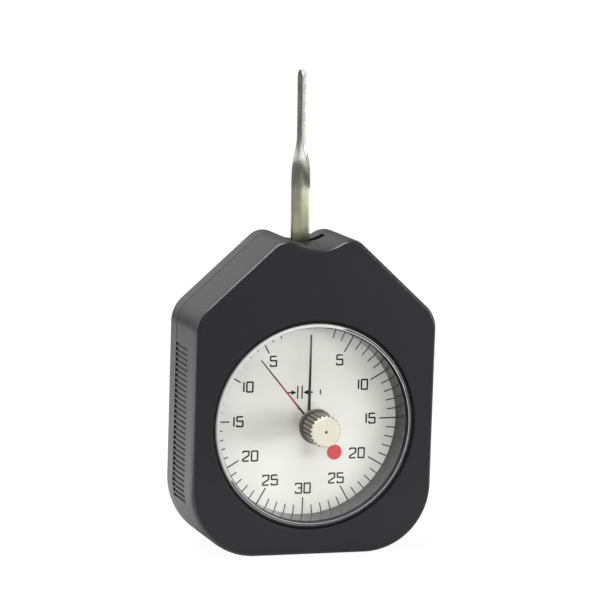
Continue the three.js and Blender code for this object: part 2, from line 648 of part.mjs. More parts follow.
function mainPointerHub() {
  const bore = PIVOT_RADIUS + SEAT_GAP;
  const flangeBack = MAIN_NEEDLE_BACK + MAIN_HUB_FLANGE;
  return turned([
    [bore, MAIN_NEEDLE_FRONT - MAIN_HUB_NOSE],
    [MAIN_HUB_RADIUS, MAIN_NEEDLE_FRONT - MAIN_HUB_NOSE],
    [MAIN_HUB_RADIUS, MAIN_NEEDLE_BACK],
    [MAIN_HUB_FLANGE_RADIUS, MAIN_NEEDLE_BACK],
    [MAIN_HUB_FLANGE_RADIUS, flangeBack],
    [MAIN_HUB_RADIUS, flangeBack],
    [MAIN_HUB_RADIUS, flangeBack + MAIN_HUB_TAIL],
    [bore, flangeBack + MAIN_HUB_TAIL],
    [bore, MAIN_NEEDLE_FRONT - MAIN_HUB_NOSE],
  ]);
}

// The thin needle with its disc on the tail. The tab bent back from it is what the main pointer
// pushes: it stops just short of that pointer here.
function memoryPointer() {
  const front = MEMORY_NEEDLE_FRONT;
  const back = MEMORY_NEEDLE_BACK;
  const tailHalf = MEMORY_TAIL_WIDTH / 2;
  const tabHalf = MEMORY_TIP_WIDTH / 2;
  const tabBack = MAIN_NEEDLE_FRONT - DRIVE_TAB_CLEARANCE;
  const tabTop = DRIVE_TAB_PLACE + DRIVE_TAB_THICKNESS;
  return carve(needle(MEMORY_ROOT_WIDTH, MEMORY_TIP_WIDTH, MEMORY_POINTER_REACH, front), {
    add: [
      prism(rectangle(-tailHalf, -MEMORY_TAIL_REACH, tailHalf, 0), front, back),
      rod(MEMORY_EYE_RADIUS, front, back),
      rod(MEMORY_DISC_RADIUS, front, back, 0, -MEMORY_TAIL_REACH),
      box(-tabHalf, tabHalf, front, tabBack, DRIVE_TAB_PLACE, tabTop),
    ],
    cut: [rod(MEMORY_HUB_RADIUS + SEAT_GAP, front - OVERRUN, back + OVERRUN)],
  });
}

function memoryPointerHub() {
  return turned([
    [STEM_BORE, WASHER_BACK + SEAT_GAP],
    [MEMORY_FLANGE_RADIUS, WASHER_BACK + SEAT_GAP],
    [MEMORY_FLANGE_RADIUS, MEMORY_NEEDLE_FRONT],
    [MEMORY_HUB_RADIUS, MEMORY_NEEDLE_FRONT],
    [MEMORY_HUB_RADIUS, MEMORY_HUB_END],
    [STEM_BORE, MEMORY_HUB_END],
    [STEM_BORE, WASHER_BACK + SEAT_GAP],
  ]);
}

// The fluted knob: straight grooves round it, a bevelled end face with a centre dimple, a neck as
// narrow as the grooves' floors, and a smooth collar next to the crystal.
function resetKnob() {
  const step = 360 / KNOB_FLUTES;
  const root = KNOB_RADIUS - KNOB_FLUTE_DEPTH;
  const outline = Array.from({ length: KNOB_FLUTES }, (_, i) => [
    ...polar(KNOB_RADIUS, i * step, (i + KNOB_RIDGE_SHARE) * step),
    ...polar(root, (i + (1 + KNOB_RIDGE_SHARE) / 2) * step),
  ]).flat();
  const collarFront = KNOB_BOTTOM - KNOB_COLLAR_HEIGHT;
  const fluteEnd = collarFront - KNOB_NECK_HEIGHT;
  const envelope = turned([
    [0, KNOB_FACE],
    [KNOB_RADIUS - KNOB_CHAMFER, KNOB_FACE],
    [KNOB_RADIUS + KNOB_CHAMFER, KNOB_FACE + 2 * KNOB_CHAMFER],
    [KNOB_RADIUS + KNOB_CHAMFER, fluteEnd],
    [0, fluteEnd],
  ]);
  const fluted = solidOf(prism(outline, KNOB_FACE - OVERRUN, fluteEnd + OVERRUN));
  return carve(geometryOf(fluted.intersect(solidOf(envelope))), {
    add: [
      rod(root, fluteEnd - KNOB_CHAMFER, KNOB_BOTTOM),
      rod(KNOB_COLLAR_RADIUS, collarFront, KNOB_BOTTOM),
    ],
    cut: [
      rod(STEM_BORE, KNOB_FACE + KNOB_BORE_END, KNOB_BOTTOM + OVERRUN),
      rod(KNOB_DIMPLE_RADIUS, KNOB_FACE - OVERRUN, KNOB_FACE + KNOB_DIMPLE_DEPTH, 0, 0, SMALL_SIDES),
    ],
  });
}

function knobStem() {
  return rod(STEM_RADIUS, KNOB_FACE + KNOB_BORE_END + SEAT_GAP, MEMORY_HUB_END);
}

// Points at one radius, at the angles given in degrees from +X towards +Z.
function polar(radius, ...angles) {
  return angles.map((angle) => {
    const turn = radians(angle);
    return new THREE.Vector2(radius * Math.cos(turn), radius * Math.sin(turn));
  });
}

// One gear tooth, narrower at its tip, as four points in the order of their angles.
function tooth(pitchRadius, step, middle) {
  const root = pitchRadius - DEDENDUM_SHARE * TOOTH_MODULE;
  const tip = pitchRadius + ADDENDUM_SHARE * TOOTH_MODULE;
  const rootHalf = (TOOTH_ROOT_SHARE * step) / 2;
  const tipHalf = (TOOTH_TIP_SHARE * step) / 2;
  return [
    ...polar(root, middle - rootHalf),
    ...polar(tip, middle - tipHalf, middle + tipHalf),
    ...polar(root, middle + rootHalf),
  ];
}

// The toothed sector, which hangs below the lever arbor with a tooth gap on the middle line.
function sectorGear() {
  const step = 360 / SECTOR_FULL_TEETH;
  const half = (SECTOR_TEETH * step) / 2;
  const root = SECTOR_PITCH_RADIUS - DEDENDUM_SHARE * TOOTH_MODULE;
  const teeth = Array.from({ length: SECTOR_TEETH }, (_, i) =>
    tooth(SECTOR_PITCH_RADIUS, step, -90 - half + (i + 1 / 2) * step),
  ).flat();
  const fan = [
    new THREE.Vector2(0, 0),
    ...polar(root, -90 - half),
    ...teeth,
    ...polar(root, -90 + half),
  ];
  const windowOuter = root - SECTOR_RIM;
  const side = (radius) => half - THREE.MathUtils.radToDeg(Math.asin(SECTOR_SPOKE / radius));
  const opening = [
    ...arc(0, 0, windowOuter, -90 - side(windowOuter), -90 + side(windowOuter)),
    ...arc(0, 0, SECTOR_WINDOW_START, -90 + side(SECTOR_WINDOW_START), -90 - side(SECTOR_WINDOW_START)),
  ];
  return carve(prism(fan, SECTOR_FRONT, SECTOR_BACK), {
    add: [rod(SECTOR_EYE_RADIUS, SECTOR_FRONT, SECTOR_BACK)],
    cut: [
      prism(opening, SECTOR_FRONT - OVERRUN, SECTOR_BACK + OVERRUN),
      rod(HUB_RADIUS + SEAT_GAP, SECTOR_FRONT - OVERRUN, SECTOR_BACK + OVERRUN),
    ],
  });
}

function leverHub() {
  const front = SECTOR_FRONT - HUB_MARGIN;
  const back = BLADE_BACK + HUB_MARGIN;
  return turned([
    [HUB_BORE, front],
    [HUB_RADIUS, front],
    [HUB_RADIUS, SECTOR_BACK + SEAT_GAP],
    [HUB_FLANGE_RADIUS, SECTOR_BACK + SEAT_GAP],
    [HUB_FLANGE_RADIUS, BLADE_FRONT - SEAT_GAP],
    [HUB_RADIUS, BLADE_FRONT - SEAT_GAP],
    [HUB_RADIUS, back],
    [HUB_BORE, back],
    [HUB_BORE, front],
  ]);
}

function leverArbor() {
  return turned([
    [0, FRONT_PLATE_FACE],
    [PIVOT_RADIUS, FRONT_PLATE_FACE],
    [PIVOT_RADIUS, FRONT_PLATE_BACK + ARBOR_END_PLAY],
    [LEVER_ARBOR_RADIUS, FRONT_PLATE_BACK + ARBOR_END_PLAY],
    [LEVER_ARBOR_RADIUS, REAR_PLATE_FACE - ARBOR_END_PLAY],
    [PIVOT_RADIUS, REAR_PLATE_FACE - ARBOR_END_PLAY],
    [PIVOT_RADIUS, REAR_PLATE_BACK],
    [0, REAR_PLATE_BACK],
  ]);
}

// A cross-section of the blade at a height above its arbor: a rectangle with its corners cut,
// turned so that its right edge comes to the front.
function bladeSection(height, width, twist) {
  const w = width / 2;
  const t = BLADE_THICKNESS / 2;
  const c = Math.min(BLADE_CORNER, w / 2);
  const corners = [
    [w - c, -t],
    [w, c - t],
    [w, t - c],
    [w - c, t],
    [c - w, t],
    [-w, t - c],
    [-w, c - t],
    [c - w, -t],
  ];
  const middle = (BLADE_FRONT + BLADE_BACK) / 2;
  return corners.map(([u, v]) => [
    u * Math.cos(twist) + v * Math.sin(twist),
    middle - u * Math.sin(twist) + v * Math.cos(twist),
    height,
  ]);
}

// The blade from its arbor up: straight, then a quarter twist that starts and ends gently, then
// straight to a round end.
function bladeSections() {
  const arborRise = ARBOR_HEIGHT - AXIS_HEIGHT;
  const start = TWIST_START - arborRise;
  const end = TWIST_END - arborRise;
  const twisted = Array.from({ length: TWIST_STEPS + 1 }, (_, i) => {
    const share = i / TWIST_STEPS;
    const eased = share * share * (3 - 2 * share);
    const width = THREE.MathUtils.lerp(BLADE_WIDTH, BLADE_TOP_WIDTH, eased);
    return bladeSection(start + (end - start) * share, width, (eased * Math.PI) / 2);
  });
  const tipRadius = BLADE_TOP_WIDTH / 2;
  const tipBase = BLADE_TIP_HEIGHT - arborRise - tipRadius;
  const lastAngle = Math.acos(BLADE_TIP_FLAT / BLADE_TOP_WIDTH);
  const tip = Array.from({ length: TIP_STEPS + 1 }, (_, i) => {
    const angle = (lastAngle * i) / TIP_STEPS;
    const height = tipBase + tipRadius * Math.sin(angle);
    return bladeSection(height, BLADE_TOP_WIDTH * Math.cos(angle), Math.PI / 2);
  });
  return [bladeSection(0, BLADE_WIDTH, 0), ...twisted, ...tip];
}

// A solid skin over a stack of rings that all have the same number of points.
function loft(rings) {
  const size = rings[0].length;
  const positions = new Float32Array(rings.flat(2));
  const index = [];
  for (let level = 0; level + 1 < rings.length; level++) {
    for (let i = 0; i < size; i++) {
      const a = level * size + i;
      const b = level * size + ((i + 1) % size);
      index.push(a, b, b + size, a, b + size, a + size);
    }
  }
  const last = (rings.length - 1) * size;
  for (let i = 1; i + 1 < size; i++) {
    index.push(0, i + 1, i, last, last + i, last + i + 1);
  }
  const geometry = new THREE.BufferGeometry();
  geometry.setAttribute("position", new THREE.BufferAttribute(positions, 3));
  return geometry.setIndex(index);
}

function measuringLever() {
  const blade = carve(loft(bladeSections()), {
    add: [rod(BLADE_EYE_RADIUS, BLADE_FRONT, BLADE_BACK)],
    cut: [rod(HUB_RADIUS + SEAT_GAP, BLADE_FRONT - OVERRUN, BLADE_BACK + OVERRUN)],
  });
  return blade.rotateY(-radians(BLADE_LEAN));
}

// The arbor in the middle of the dial, with its pinion cut in it. A leaf points up, into the gap
// between two teeth of the sector.
function centreArbor() {
  const step = 360 / PINION_TEETH;
  const front = MAIN_NEEDLE_FRONT - MAIN_HUB_NOSE;
  const leaves = Array.from({ length: PINION_TEETH }, (_, i) =>
    tooth(PINION_PITCH_RADIUS, step, 90 + i * step),
  ).flat();
  const shaft = turned([
    [0, front],
    [PIVOT_RADIUS, front],
    [PIVOT_RADIUS, FRONT_PLATE_BACK + ARBOR_END_PLAY],
    [CENTRE_ARBOR_RADIUS, FRONT_PLATE_BACK + ARBOR_END_PLAY],
    [CENTRE_ARBOR_RADIUS, REAR_PLATE_FACE - ARBOR_END_PLAY],
    [PIVOT_RADIUS, REAR_PLATE_FACE - ARBOR_END_PLAY],
    [PIVOT_RADIUS, REAR_PLATE_BACK],
    [0, REAR_PLATE_BACK],
  ]);
  const pinionFront = FRONT_PLATE_BACK + PINION_OFFSET;
  return carve(shaft, { add: [prism(leaves, pinionFront, pinionFront + PINION_LENGTH)] });
}

// A flat spiral ribbon that ends beside its stud.
function spiral(inner, pitch, thickness, front, width, endAngle) {
  const count = SPRING_TURNS * SPRING_SIDES;
  const side = (offset) =>
    Array.from({ length: count + 1 }, (_, i) => {
      const turns = (i * SPRING_TURNS) / count;
      return polar(inner + offset + pitch * turns, endAngle + 360 * (turns - SPRING_TURNS))[0];
    });
  return prism([...side(thickness), ...side(0).reverse()], front, front + width);
}

function collet(bore, outer, springFront, springWidth) {
  return ring(bore, outer, springFront - COLLET_MARGIN, springFront + springWidth + COLLET_MARGIN);
}

// A bearing bush, its flange on the outer side of the plate that holds it.
function bearing(plateInner, plateOuter) {
  const bore = PIVOT_RADIUS + RUNNING_GAP;
  const outward = Math.sign(plateOuter - plateInner);
  const flangeEnd = plateOuter + outward * BEARING_FLANGE;
  const profile = [
    [bore, plateInner],
    [BEARING_RADIUS, plateInner],
    [BEARING_RADIUS, plateOuter],
    [BEARING_FLANGE_RADIUS, plateOuter],
    [BEARING_FLANGE_RADIUS, flangeEnd],
    [bore, flangeEnd],
    [bore, plateInner],
  ];
  return turned(outward > 0 ? profile : profile.reverse());
}

// Where the studs and stop pins stand, round the arbor that each belongs to.
function springReach(colletRadius, pitch, thickness) {
  return colletRadius + SPRING_CLEARANCE + SPRING_TURNS * pitch + thickness;
}

const MEASURING_STUD_REACH =
  springReach(SPRING_COLLET_RADIUS, MEASURING_SPRING_PITCH, MEASURING_SPRING_THICKNESS) +
  SPRING_CLEARANCE +
  STUD_RADIUS;
const HAIR_STUD_REACH =
  springReach(HAIR_COLLET_RADIUS, HAIRSPRING_PITCH, HAIRSPRING_THICKNESS) +
  SPRING_CLEARANCE +
  STUD_RADIUS;
const [MEASURING_STUD] = polar(MEASURING_STUD_REACH, MEASURING_STUD_ANGLE);
const [HAIR_STUD] = polar(HAIR_STUD_REACH, HAIR_STUD_ANGLE);
const SECTOR_HALF_ANGLE = (180 * SECTOR_TEETH) / SECTOR_FULL_TEETH;
const STOP_ANGLE =
  SECTOR_HALF_ANGLE +
  LEVER_SWING +
  THREE.MathUtils.radToDeg(Math.asin((STOP_PIN_RADIUS + STOP_CLEARANCE) / STOP_PIN_PLACE));
const STOP_PINS = polar(STOP_PIN_PLACE, -90 - STOP_ANGLE, -90 + STOP_ANGLE);

// Both movement plates have the two bearings; each also has holes for what stands in it.
function plateHoles(front, back, holes) {
  const through = (radius, x, z) => rod(radius, front - OVERRUN, back + OVERRUN, x, z, SMALL_SIDES);
  const bearingHole = BEARING_RADIUS + SEAT_GAP;
  return [
    rod(bearingHole, front - OVERRUN, back + OVERRUN, 0, AXIS_HEIGHT),
    rod(bearingHole, front - OVERRUN, back + OVERRUN, 0, ARBOR_HEIGHT),
    ...holes.map(([radius, x, z]) => through(radius, x, z)),
  ];
}

function frontPlate() {
  const outline = hull(MOUNTS.map(([x, z]) => [x, z, MOUNT_LUG_RADIUS]));
  const footHole = DIAL_FOOT_RADIUS + SCREW_GAP;
  const footZ = AXIS_HEIGHT - DIAL_FOOT_DROP;
  return carve(prism(outline, FRONT_PLATE_FACE, FRONT_PLATE_BACK), {
    cut: plateHoles(FRONT_PLATE_FACE, FRONT_PLATE_BACK, [
      ...MOUNTS.map(([x, z]) => [MOUNT_SCREW_RADIUS + SCREW_GAP, x, z]),
      ...PILLARS.map(([x, z]) => [PILLAR_SPIGOT_RADIUS + SEAT_GAP, x, z]),
      ...STOP_PINS.map((pin) => [STOP_PIN_RADIUS + SEAT_GAP, pin.x, ARBOR_HEIGHT + pin.y]),
      [footHole, -DIAL_FOOT_SPREAD, footZ],
      [footHole, DIAL_FOOT_SPREAD, footZ],
    ]),
  });
}

function rearPlate() {
  const lobes = PILLARS.map(([x, z]) => [x, z, PILLAR_RADIUS + REAR_PLATE_MARGIN]);
  const outline = hull([...lobes, [0, ARBOR_HEIGHT, REAR_PLATE_TOP_RADIUS]]);
  const studHole = STUD_RADIUS + SEAT_GAP;
  return carve(prism(outline, REAR_PLATE_FACE, REAR_PLATE_BACK), {
    cut: plateHoles(REAR_PLATE_FACE, REAR_PLATE_BACK, [
      ...PILLARS.map(([x, z]) => [PLATE_SCREW_RADIUS + SCREW_GAP, x, z]),
      [studHole, MEASURING_STUD.x, ARBOR_HEIGHT + MEASURING_STUD.y],
      [studHole, HAIR_STUD.x, AXIS_HEIGHT + HAIR_STUD.y],
    ]),
  });
}

function pillar([x, z]) {
  const hole = PLATE_SCREW_RADIUS + SCREW_GAP;
  const profile = [
    [0, FRONT_PLATE_FACE],
    [PILLAR_SPIGOT_RADIUS, FRONT_PLATE_FACE],
    [PILLAR_SPIGOT_RADIUS, FRONT_PLATE_BACK],
    [PILLAR_RADIUS, FRONT_PLATE_BACK],
    [PILLAR_RADIUS, REAR_PLATE_FACE],
    [hole, REAR_PLATE_FACE],
    [hole, REAR_PLATE_FACE - PILLAR_HOLE_DEPTH],
    [0, REAR_PLATE_FACE - PILLAR_HOLE_DEPTH],
  ];
  return turned(profile, x, z, SMALL_SIDES);
}

// The casing and what is fixed in it
function casing() {
  const group = new THREE.Group();
  piece(group, "front_cover", frontCover(), MATERIALS.casing);
  piece(group, "rear_cover", rearCover(), MATERIALS.casing);
  const places = ["lower_left", "lower_right", "upper_left", "upper_right"];
  places.forEach((place, i) => {
    const [x, z] = CASE_BOSSES[i];
    const [head, seat] = [CASE_SCREW_HEAD, caseScrewSeat()];
    const body = screw(CASE_SCREW_RADIUS, CASE_SCREW_LENGTH, CASE_SCREW_HEAD_RADIUS, head, seat, x, z);
    piece(group, `case_screw_${place}`, body, MATERIALS.steel);
  });
  return group;
}

function dialAndCrystal() {
  const group = new THREE.Group();
  group.position.z = AXIS_HEIGHT;
  piece(group, "crystal", crystal(), MATERIALS.crystal);
  piece(group, "crystal_seal", crystalSeal(), MATERIALS.rubber);
  piece(group, "knob_bush", knobBush(), MATERIALS.brass);
  piece(group, "dial_plate", dialPlate(), MATERIALS.dial);
  return group;
}

function resetAssembly() {
  const group = new THREE.Group();
  group.position.z = AXIS_HEIGHT;
  group.rotation.y = -radians(MEMORY_ANGLE);
  const washer = ring(STEM_BORE, WASHER_RADIUS, CRYSTAL_BOTTOM, WASHER_BACK);
  piece(group, "reset_knob", resetKnob(), MATERIALS.knob);
  piece(group, "knob_stem", knobStem(), MATERIALS.steel);
  piece(group, "friction_washer", washer, MATERIALS.steel);
  piece(group, "memory_pointer_hub", memoryPointerHub(), MATERIALS.black);
  piece(group, "memory_pointer", memoryPointer(), MATERIALS.red);
  return group;
}

function pointerAssembly() {
  const group = new THREE.Group();
  group.position.z = AXIS_HEIGHT;
  const bore = CENTRE_ARBOR_RADIUS + SEAT_GAP;
  const springFront = FRONT_PLATE_BACK + HAIRSPRING_OFFSET;
  const hairCollet = collet(bore, HAIR_COLLET_RADIUS, springFront, HAIRSPRING_WIDTH);
  piece(group, "main_pointer", mainPointer(), MATERIALS.black);
  piece(group, "main_pointer_hub", mainPointerHub(), MATERIALS.black);
  piece(group, "centre_arbor", centreArbor(), MATERIALS.steel);
  piece(group, "hairspring_collet", hairCollet, MATERIALS.brass);
  return group;
}

function leverAssembly() {
  const group = new THREE.Group();
  group.position.z = ARBOR_HEIGHT;
  const springFront = FRONT_PLATE_BACK + MEASURING_SPRING_OFFSET;
  const springCollet = collet(HUB_BORE, SPRING_COLLET_RADIUS, springFront, MEASURING_SPRING_WIDTH);
  piece(group, "measuring_lever", measuringLever(), MATERIALS.nickel);
  piece(group, "lever_arbor", leverArbor(), MATERIALS.steel);
  piece(group, "lever_hub", leverHub(), MATERIALS.brass);
  piece(group, "sector_gear", sectorGear(), MATERIALS.brass);
  piece(group, "measuring_spring_collet", springCollet, MATERIALS.brass);
  return group;
}

function movementFrame() {
  const group = new THREE.Group();
  piece(group, "movement_front_plate", frontPlate(), MATERIALS.brass);
  piece(group, "movement_rear_plate", rearPlate(), MATERIALS.brass);
  ["left", "right", "lower"].forEach((place, i) => {
    const [x, z] = PILLARS[i];
    const [head, headRadius] = [PLATE_SCREW_HEAD, PLATE_SCREW_HEAD_RADIUS];
    const seat = REAR_PLATE_BACK;
    const plateScrew = screw(PLATE_SCREW_RADIUS, PLATE_SCREW_LENGTH, headRadius, head, seat, x, z);
    piece(group, `pillar_${place}`, pillar(PILLARS[i]), MATERIALS.brass);
    piece(group, `plate_screw_${place}`, plateScrew, MATERIALS.steel);
  });
  ["left", "right", "lower"].forEach((place, i) => {
    const [x, z] = MOUNTS[i];
    const [head, headRadius] = [MOUNT_SCREW_HEAD, MOUNT_SCREW_HEAD_RADIUS];
    const seat = FRONT_PLATE_BACK;
    const mountScrew = screw(MOUNT_SCREW_RADIUS, MOUNT_SCREW_LENGTH, headRadius, head, seat, x, z);
    piece(group, `movement_screw_${place}`, mountScrew, MATERIALS.steel);
  });
  ["left", "right"].forEach((place, i) => {
    const { x, y } = STOP_PINS[i];
    const end = SECTOR_BACK + STOP_CLEARANCE;
    const pin = rod(STOP_PIN_RADIUS, FRONT_PLATE_FACE, end, x, ARBOR_HEIGHT + y, SMALL_SIDES);
    piece(group, `stop_pin_${place}`, pin, MATERIALS.steel);
  });
  return group;
}

// The bushes, springs and studs round one arbor, which stay still while it turns.
function bearingsAndSpring(height, name, spring) {
  const group = new THREE.Group();
  group.position.z = height;
  const frontBush = bearing(FRONT_PLATE_BACK, FRONT_PLATE_FACE);
  const rearBush = bearing(REAR_PLATE_FACE, REAR_PLATE_BACK);
  const front = FRONT_PLATE_BACK + spring.offset;
  const inner = spring.colletRadius + SPRING_CLEARANCE;
  const ribbon = spiral(inner, spring.pitch, spring.thickness, front, spring.width, spring.angle);
  const stud = rod(STUD_RADIUS, front, REAR_PLATE_BACK, spring.stud.x, spring.stud.y, SMALL_SIDES);
  piece(group, `${name}_front_bush`, frontBush, MATERIALS.brass);
  piece(group, `${name}_rear_bush`, rearBush, MATERIALS.brass);
  piece(group, spring.name, ribbon, MATERIALS.steel);
  piece(group, `${spring.name}_stud`, stud, MATERIALS.brass);
  return group;
}

const MEASURING_SPRING = {
  name: "measuring_spring",
  offset: MEASURING_SPRING_OFFSET,
  colletRadius: SPRING_COLLET_RADIUS,
  pitch: MEASURING_SPRING_PITCH,
  thickness: MEASURING_SPRING_THICKNESS,
  width: MEASURING_SPRING_WIDTH,
  angle: MEASURING_STUD_ANGLE,
  stud: MEASURING_STUD,
};
const HAIRSPRING = {
  name: "hairspring",
  offset: HAIRSPRING_OFFSET,
  colletRadius: HAIR_COLLET_RADIUS,
  pitch: HAIRSPRING_PITCH,
  thickness: HAIRSPRING_THICKNESS,
  width: HAIRSPRING_WIDTH,
  angle: HAIR_STUD_ANGLE,
  stud: HAIR_STUD,
};

const part = new THREE.Group();
part.add(
  casing(),
  dialAndCrystal(),
  resetAssembly(),
  pointerAssembly(),
  leverAssembly(),
  movementFrame(),
  bearingsAndSpring(ARBOR_HEIGHT, "lever", MEASURING_SPRING),
  bearingsAndSpring(AXIS_HEIGHT, "centre", HAIRSPRING),
);

export default part;
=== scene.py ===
"""Dial tension gauge: the visible pieces, the stage and the camera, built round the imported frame.

Lengths are in metres, in the frame's own axes: X right, Y away from the dial's reader, Z up.
"""

import json
import math

import bmesh
import bpy
import numpy as np
from bpy.props import FloatProperty, FloatVectorProperty, IntProperty, PointerProperty
from bpy.types import Operator, Panel, PropertyGroup
from mathutils import Matrix, Vector
from mathutils.geometry import tessellate_polygon


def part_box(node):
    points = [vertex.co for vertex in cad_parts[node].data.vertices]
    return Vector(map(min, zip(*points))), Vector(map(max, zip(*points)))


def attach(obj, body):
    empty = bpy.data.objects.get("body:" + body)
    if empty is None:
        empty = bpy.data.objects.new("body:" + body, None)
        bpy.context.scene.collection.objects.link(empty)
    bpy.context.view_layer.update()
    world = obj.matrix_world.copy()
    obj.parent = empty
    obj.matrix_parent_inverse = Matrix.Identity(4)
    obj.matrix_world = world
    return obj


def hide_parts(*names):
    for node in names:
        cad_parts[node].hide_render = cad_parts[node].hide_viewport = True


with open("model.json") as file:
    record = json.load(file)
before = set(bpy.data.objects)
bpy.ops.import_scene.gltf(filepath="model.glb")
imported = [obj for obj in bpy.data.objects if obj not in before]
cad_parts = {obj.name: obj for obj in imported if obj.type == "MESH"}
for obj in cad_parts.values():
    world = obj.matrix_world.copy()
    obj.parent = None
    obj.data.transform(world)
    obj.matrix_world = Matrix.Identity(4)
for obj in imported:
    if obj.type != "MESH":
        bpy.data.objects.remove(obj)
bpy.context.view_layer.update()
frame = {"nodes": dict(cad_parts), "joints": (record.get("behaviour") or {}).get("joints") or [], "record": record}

bl_info = {
    "name": "Dial tension gauge",
    "version": (1, 0, 0),
    "blender": (4, 5, 0),
    "location": "3D View > Sidebar > Gauge",
    "description": "Builds a dial tension gauge round its packed frame",
    "category": "Add Mesh",
}

MM = 0.001
WHITE = (1.0, 1.0, 1.0, 1.0)
WELD = 0.0005 * MM  # points closer than this are one
SHORTEST_EDGE = WELD / 10
SHARP_ANGLE = 30  # degrees: an edge that turns more isn't shaded smooth
ARC_STEP = 3  # degrees between points of a round outline
FINE_SIDES, ROUND_SIDES = 192, 64  # of large and small round pieces


def linear(hex_colour):
    """Linear red, green and blue of an sRGB colour written as #rrggbb."""
    shares = [int(hex_colour[i : i + 2], 16) / 255 for i in (1, 3, 5)]
    return tuple(s / 12.92 if s <= 0.04045 else ((s + 0.055) / 1.055) ** 2.4 for s in shares)


# Places and sizes that come from the frame
COVER_LOW, COVER_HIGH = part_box("front_cover")
CRYSTAL_LOW, CRYSTAL_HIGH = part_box("crystal")
DIAL_LOW, DIAL_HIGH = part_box("dial_plate")
KNOB_LOW, KNOB_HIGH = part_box("reset_knob")
BUSH_LOW, BUSH_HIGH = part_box("knob_bush")
NEEDLE_LOW, NEEDLE_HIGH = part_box("main_pointer")
MEMORY_LOW, MEMORY_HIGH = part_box("memory_pointer")
FRONT = COVER_LOW.y
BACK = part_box("rear_cover")[1].y
SEAM = COVER_HIGH.y
LEVER_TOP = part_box("measuring_lever")[1].z
AXIS_HEIGHT = frame["joints"][1]["pos_m"][2]
ARBOR_HEIGHT = frame["joints"][0]["pos_m"][2]


def length(name, description, millimetres):
    """A length that a user may change, given in millimetres."""
    return FloatProperty(
        name=name, description=description, default=millimetres * MM, unit="LENGTH", precision=5
    )


def angle(name, description, degrees):
    """An angle that a user may change, given in degrees."""
    return FloatProperty(
        name=name, description=description, default=math.radians(degrees), subtype="ANGLE"
    )


def colour(name, description, hex_colour):
    """A colour that a user may change, given as sRGB hex."""
    return FloatVectorProperty(
        name=name, description=description, default=linear(hex_colour), subtype="COLOR", size=3
    )


class CasingSizes(PropertyGroup):
    """The moulded casing's outline, walls, grip slots and window."""

    corner: length("Bottom corner", "Radius of the bottom corners", 17)
    shoulder: length("Shoulder", "Radius of the shoulders", 8)
    slope: angle("Slope", "Slope from shoulder to peak, from level", 42.2)
    peak: length("Peak", "Radius of the two peaks", 5)
    peak_offset: length("Peak offset", "From the middle to the centre of each peak", 8.15)
    saddle: length("Saddle depth", "Dip between the peaks", 2.2)
    edge: length("Edge", "Rounding of the back edge", 1.1)
    front_inset: length("Front inset", "How far the front edge's rounding runs in", 0.8)
    front_run: length("Front run", "How far the front edge's rounding runs along the flank", 1.6)
    wall: length("Wall", "Wall of both covers", 1.8)
    parting: length("Parting bevel", "Bevel along the parting line", 0.05)
    lip_gap: length("Lip gap", "Between the front cover's wall and the rear cover's lip", 0.3)
    lip: length("Lip", "Thickness of the rear cover's lip", 1)
    lip_reach: length("Lip reach", "How far the lip reaches into the front cover", 1.5)
    window: length("Window", "Radius of the dial window", 26.3)
    window_edge: length("Window edge", "Rounding of the window's edge", 0.25)
    well: length("Well", "Radius of the well over the dial", 24.3)
    well_taper: length("Well taper", "How much narrower the well is at the dial", 0.4)
    well_rim: length("Well rim", "Wall of the well beyond the window", 1.2)
    slot_width: length("Lever slot", "Width of the lever's slot, front to back", 3)
    slot_reach: length("Slot reach", "Half the length of the lever's slot", 5.86)
    grip_top: length("Grip top", "Highest grip slot above the dial axis", 18.7)
    grip_pitch: length("Grip pitch", "From one grip slot to the next", 1.32)
    grip_width: length("Grip slot width", "Height of each grip slot", 0.78)
    grip_depth: length("Grip slot depth", "Depth of each grip slot", 0.45)
    grip_front: length("Grip margin", "From the front face to the grip slots", 6.7)
    grip_count: IntProperty(name="Grip slots", description="Slots on each flank", default=30)
    screw_recess: length("Screw recess", "Radius of the recess round each screw head", 2.4)
    screw_head: length("Screw head", "Radius of the case screws' heads", 2.2)
    screw_sink: length("Screw sink", "Screw heads below the back face", 0.2)
    screw_depth: length("Screw head depth", "Height of the case screws' heads", 1.1)


class DialSizes(PropertyGroup):
    """The crystal, the dial's print and the pointers."""

    crystal_edge: length("Crystal edge", "Rounding of the crystal's front edge", 0.8)
    tick_outer: length("Tick end", "Radius where the ticks end", 24.6)
    short_inner: length("Short tick", "Radius where the short ticks start", 21.6)
    long_inner: length("Long tick", "Radius where the long ticks start", 19.6)
    tick_width: length("Tick width", "Width of a short tick", 0.28)
    long_width: length("Long tick width", "Width of a long tick", 0.32)
    number_radius: length("Numbers", "Radius of the circle of numbers", 17.3)
    number_height: length("Number height", "Height of a number", 2.85)
    number_width: length("Digit width", "Width of a digit", 1.95)
    number_gap: length("Digit gap", "Between two digits", 0.3)
    number_stroke: length("Stroke", "Width of a digit's stroke", 0.4)
    twenty_radius: length("Twenty", "Distance of both 20s from the axis", 16.5)
    twenty_angle: angle("Twenty's angle", "Angle of both 20s from the top", 122)
    print_height: length("Print height", "Thickness of the printed ink", 0.02)
    needle_reach: length("Main pointer", "From the axis to the main pointer's tip", 22)
    needle_root: length("Root width", "Main pointer's width at the axis", 0.75)
    needle_tip: length("Tip width", "Main pointer's width at its tip", 0.35)
    memory_reach: length("Memory pointer", "From the axis to the memory pointer's tip", 21.3)
    memory_root: length("Memory root", "Memory pointer's width at the axis", 0.5)
    memory_tip: length("Memory tip", "Memory pointer's width at its tip", 0.25)
    memory_tail: length("Memory tail", "From the axis to the middle of the tail's disc", 9.45)
    memory_disc: length("Memory disc", "Radius of the disc on the tail", 1.9)
    memory_angle: angle("Memory angle", "Memory pointer's angle at rest, to the left", 40)


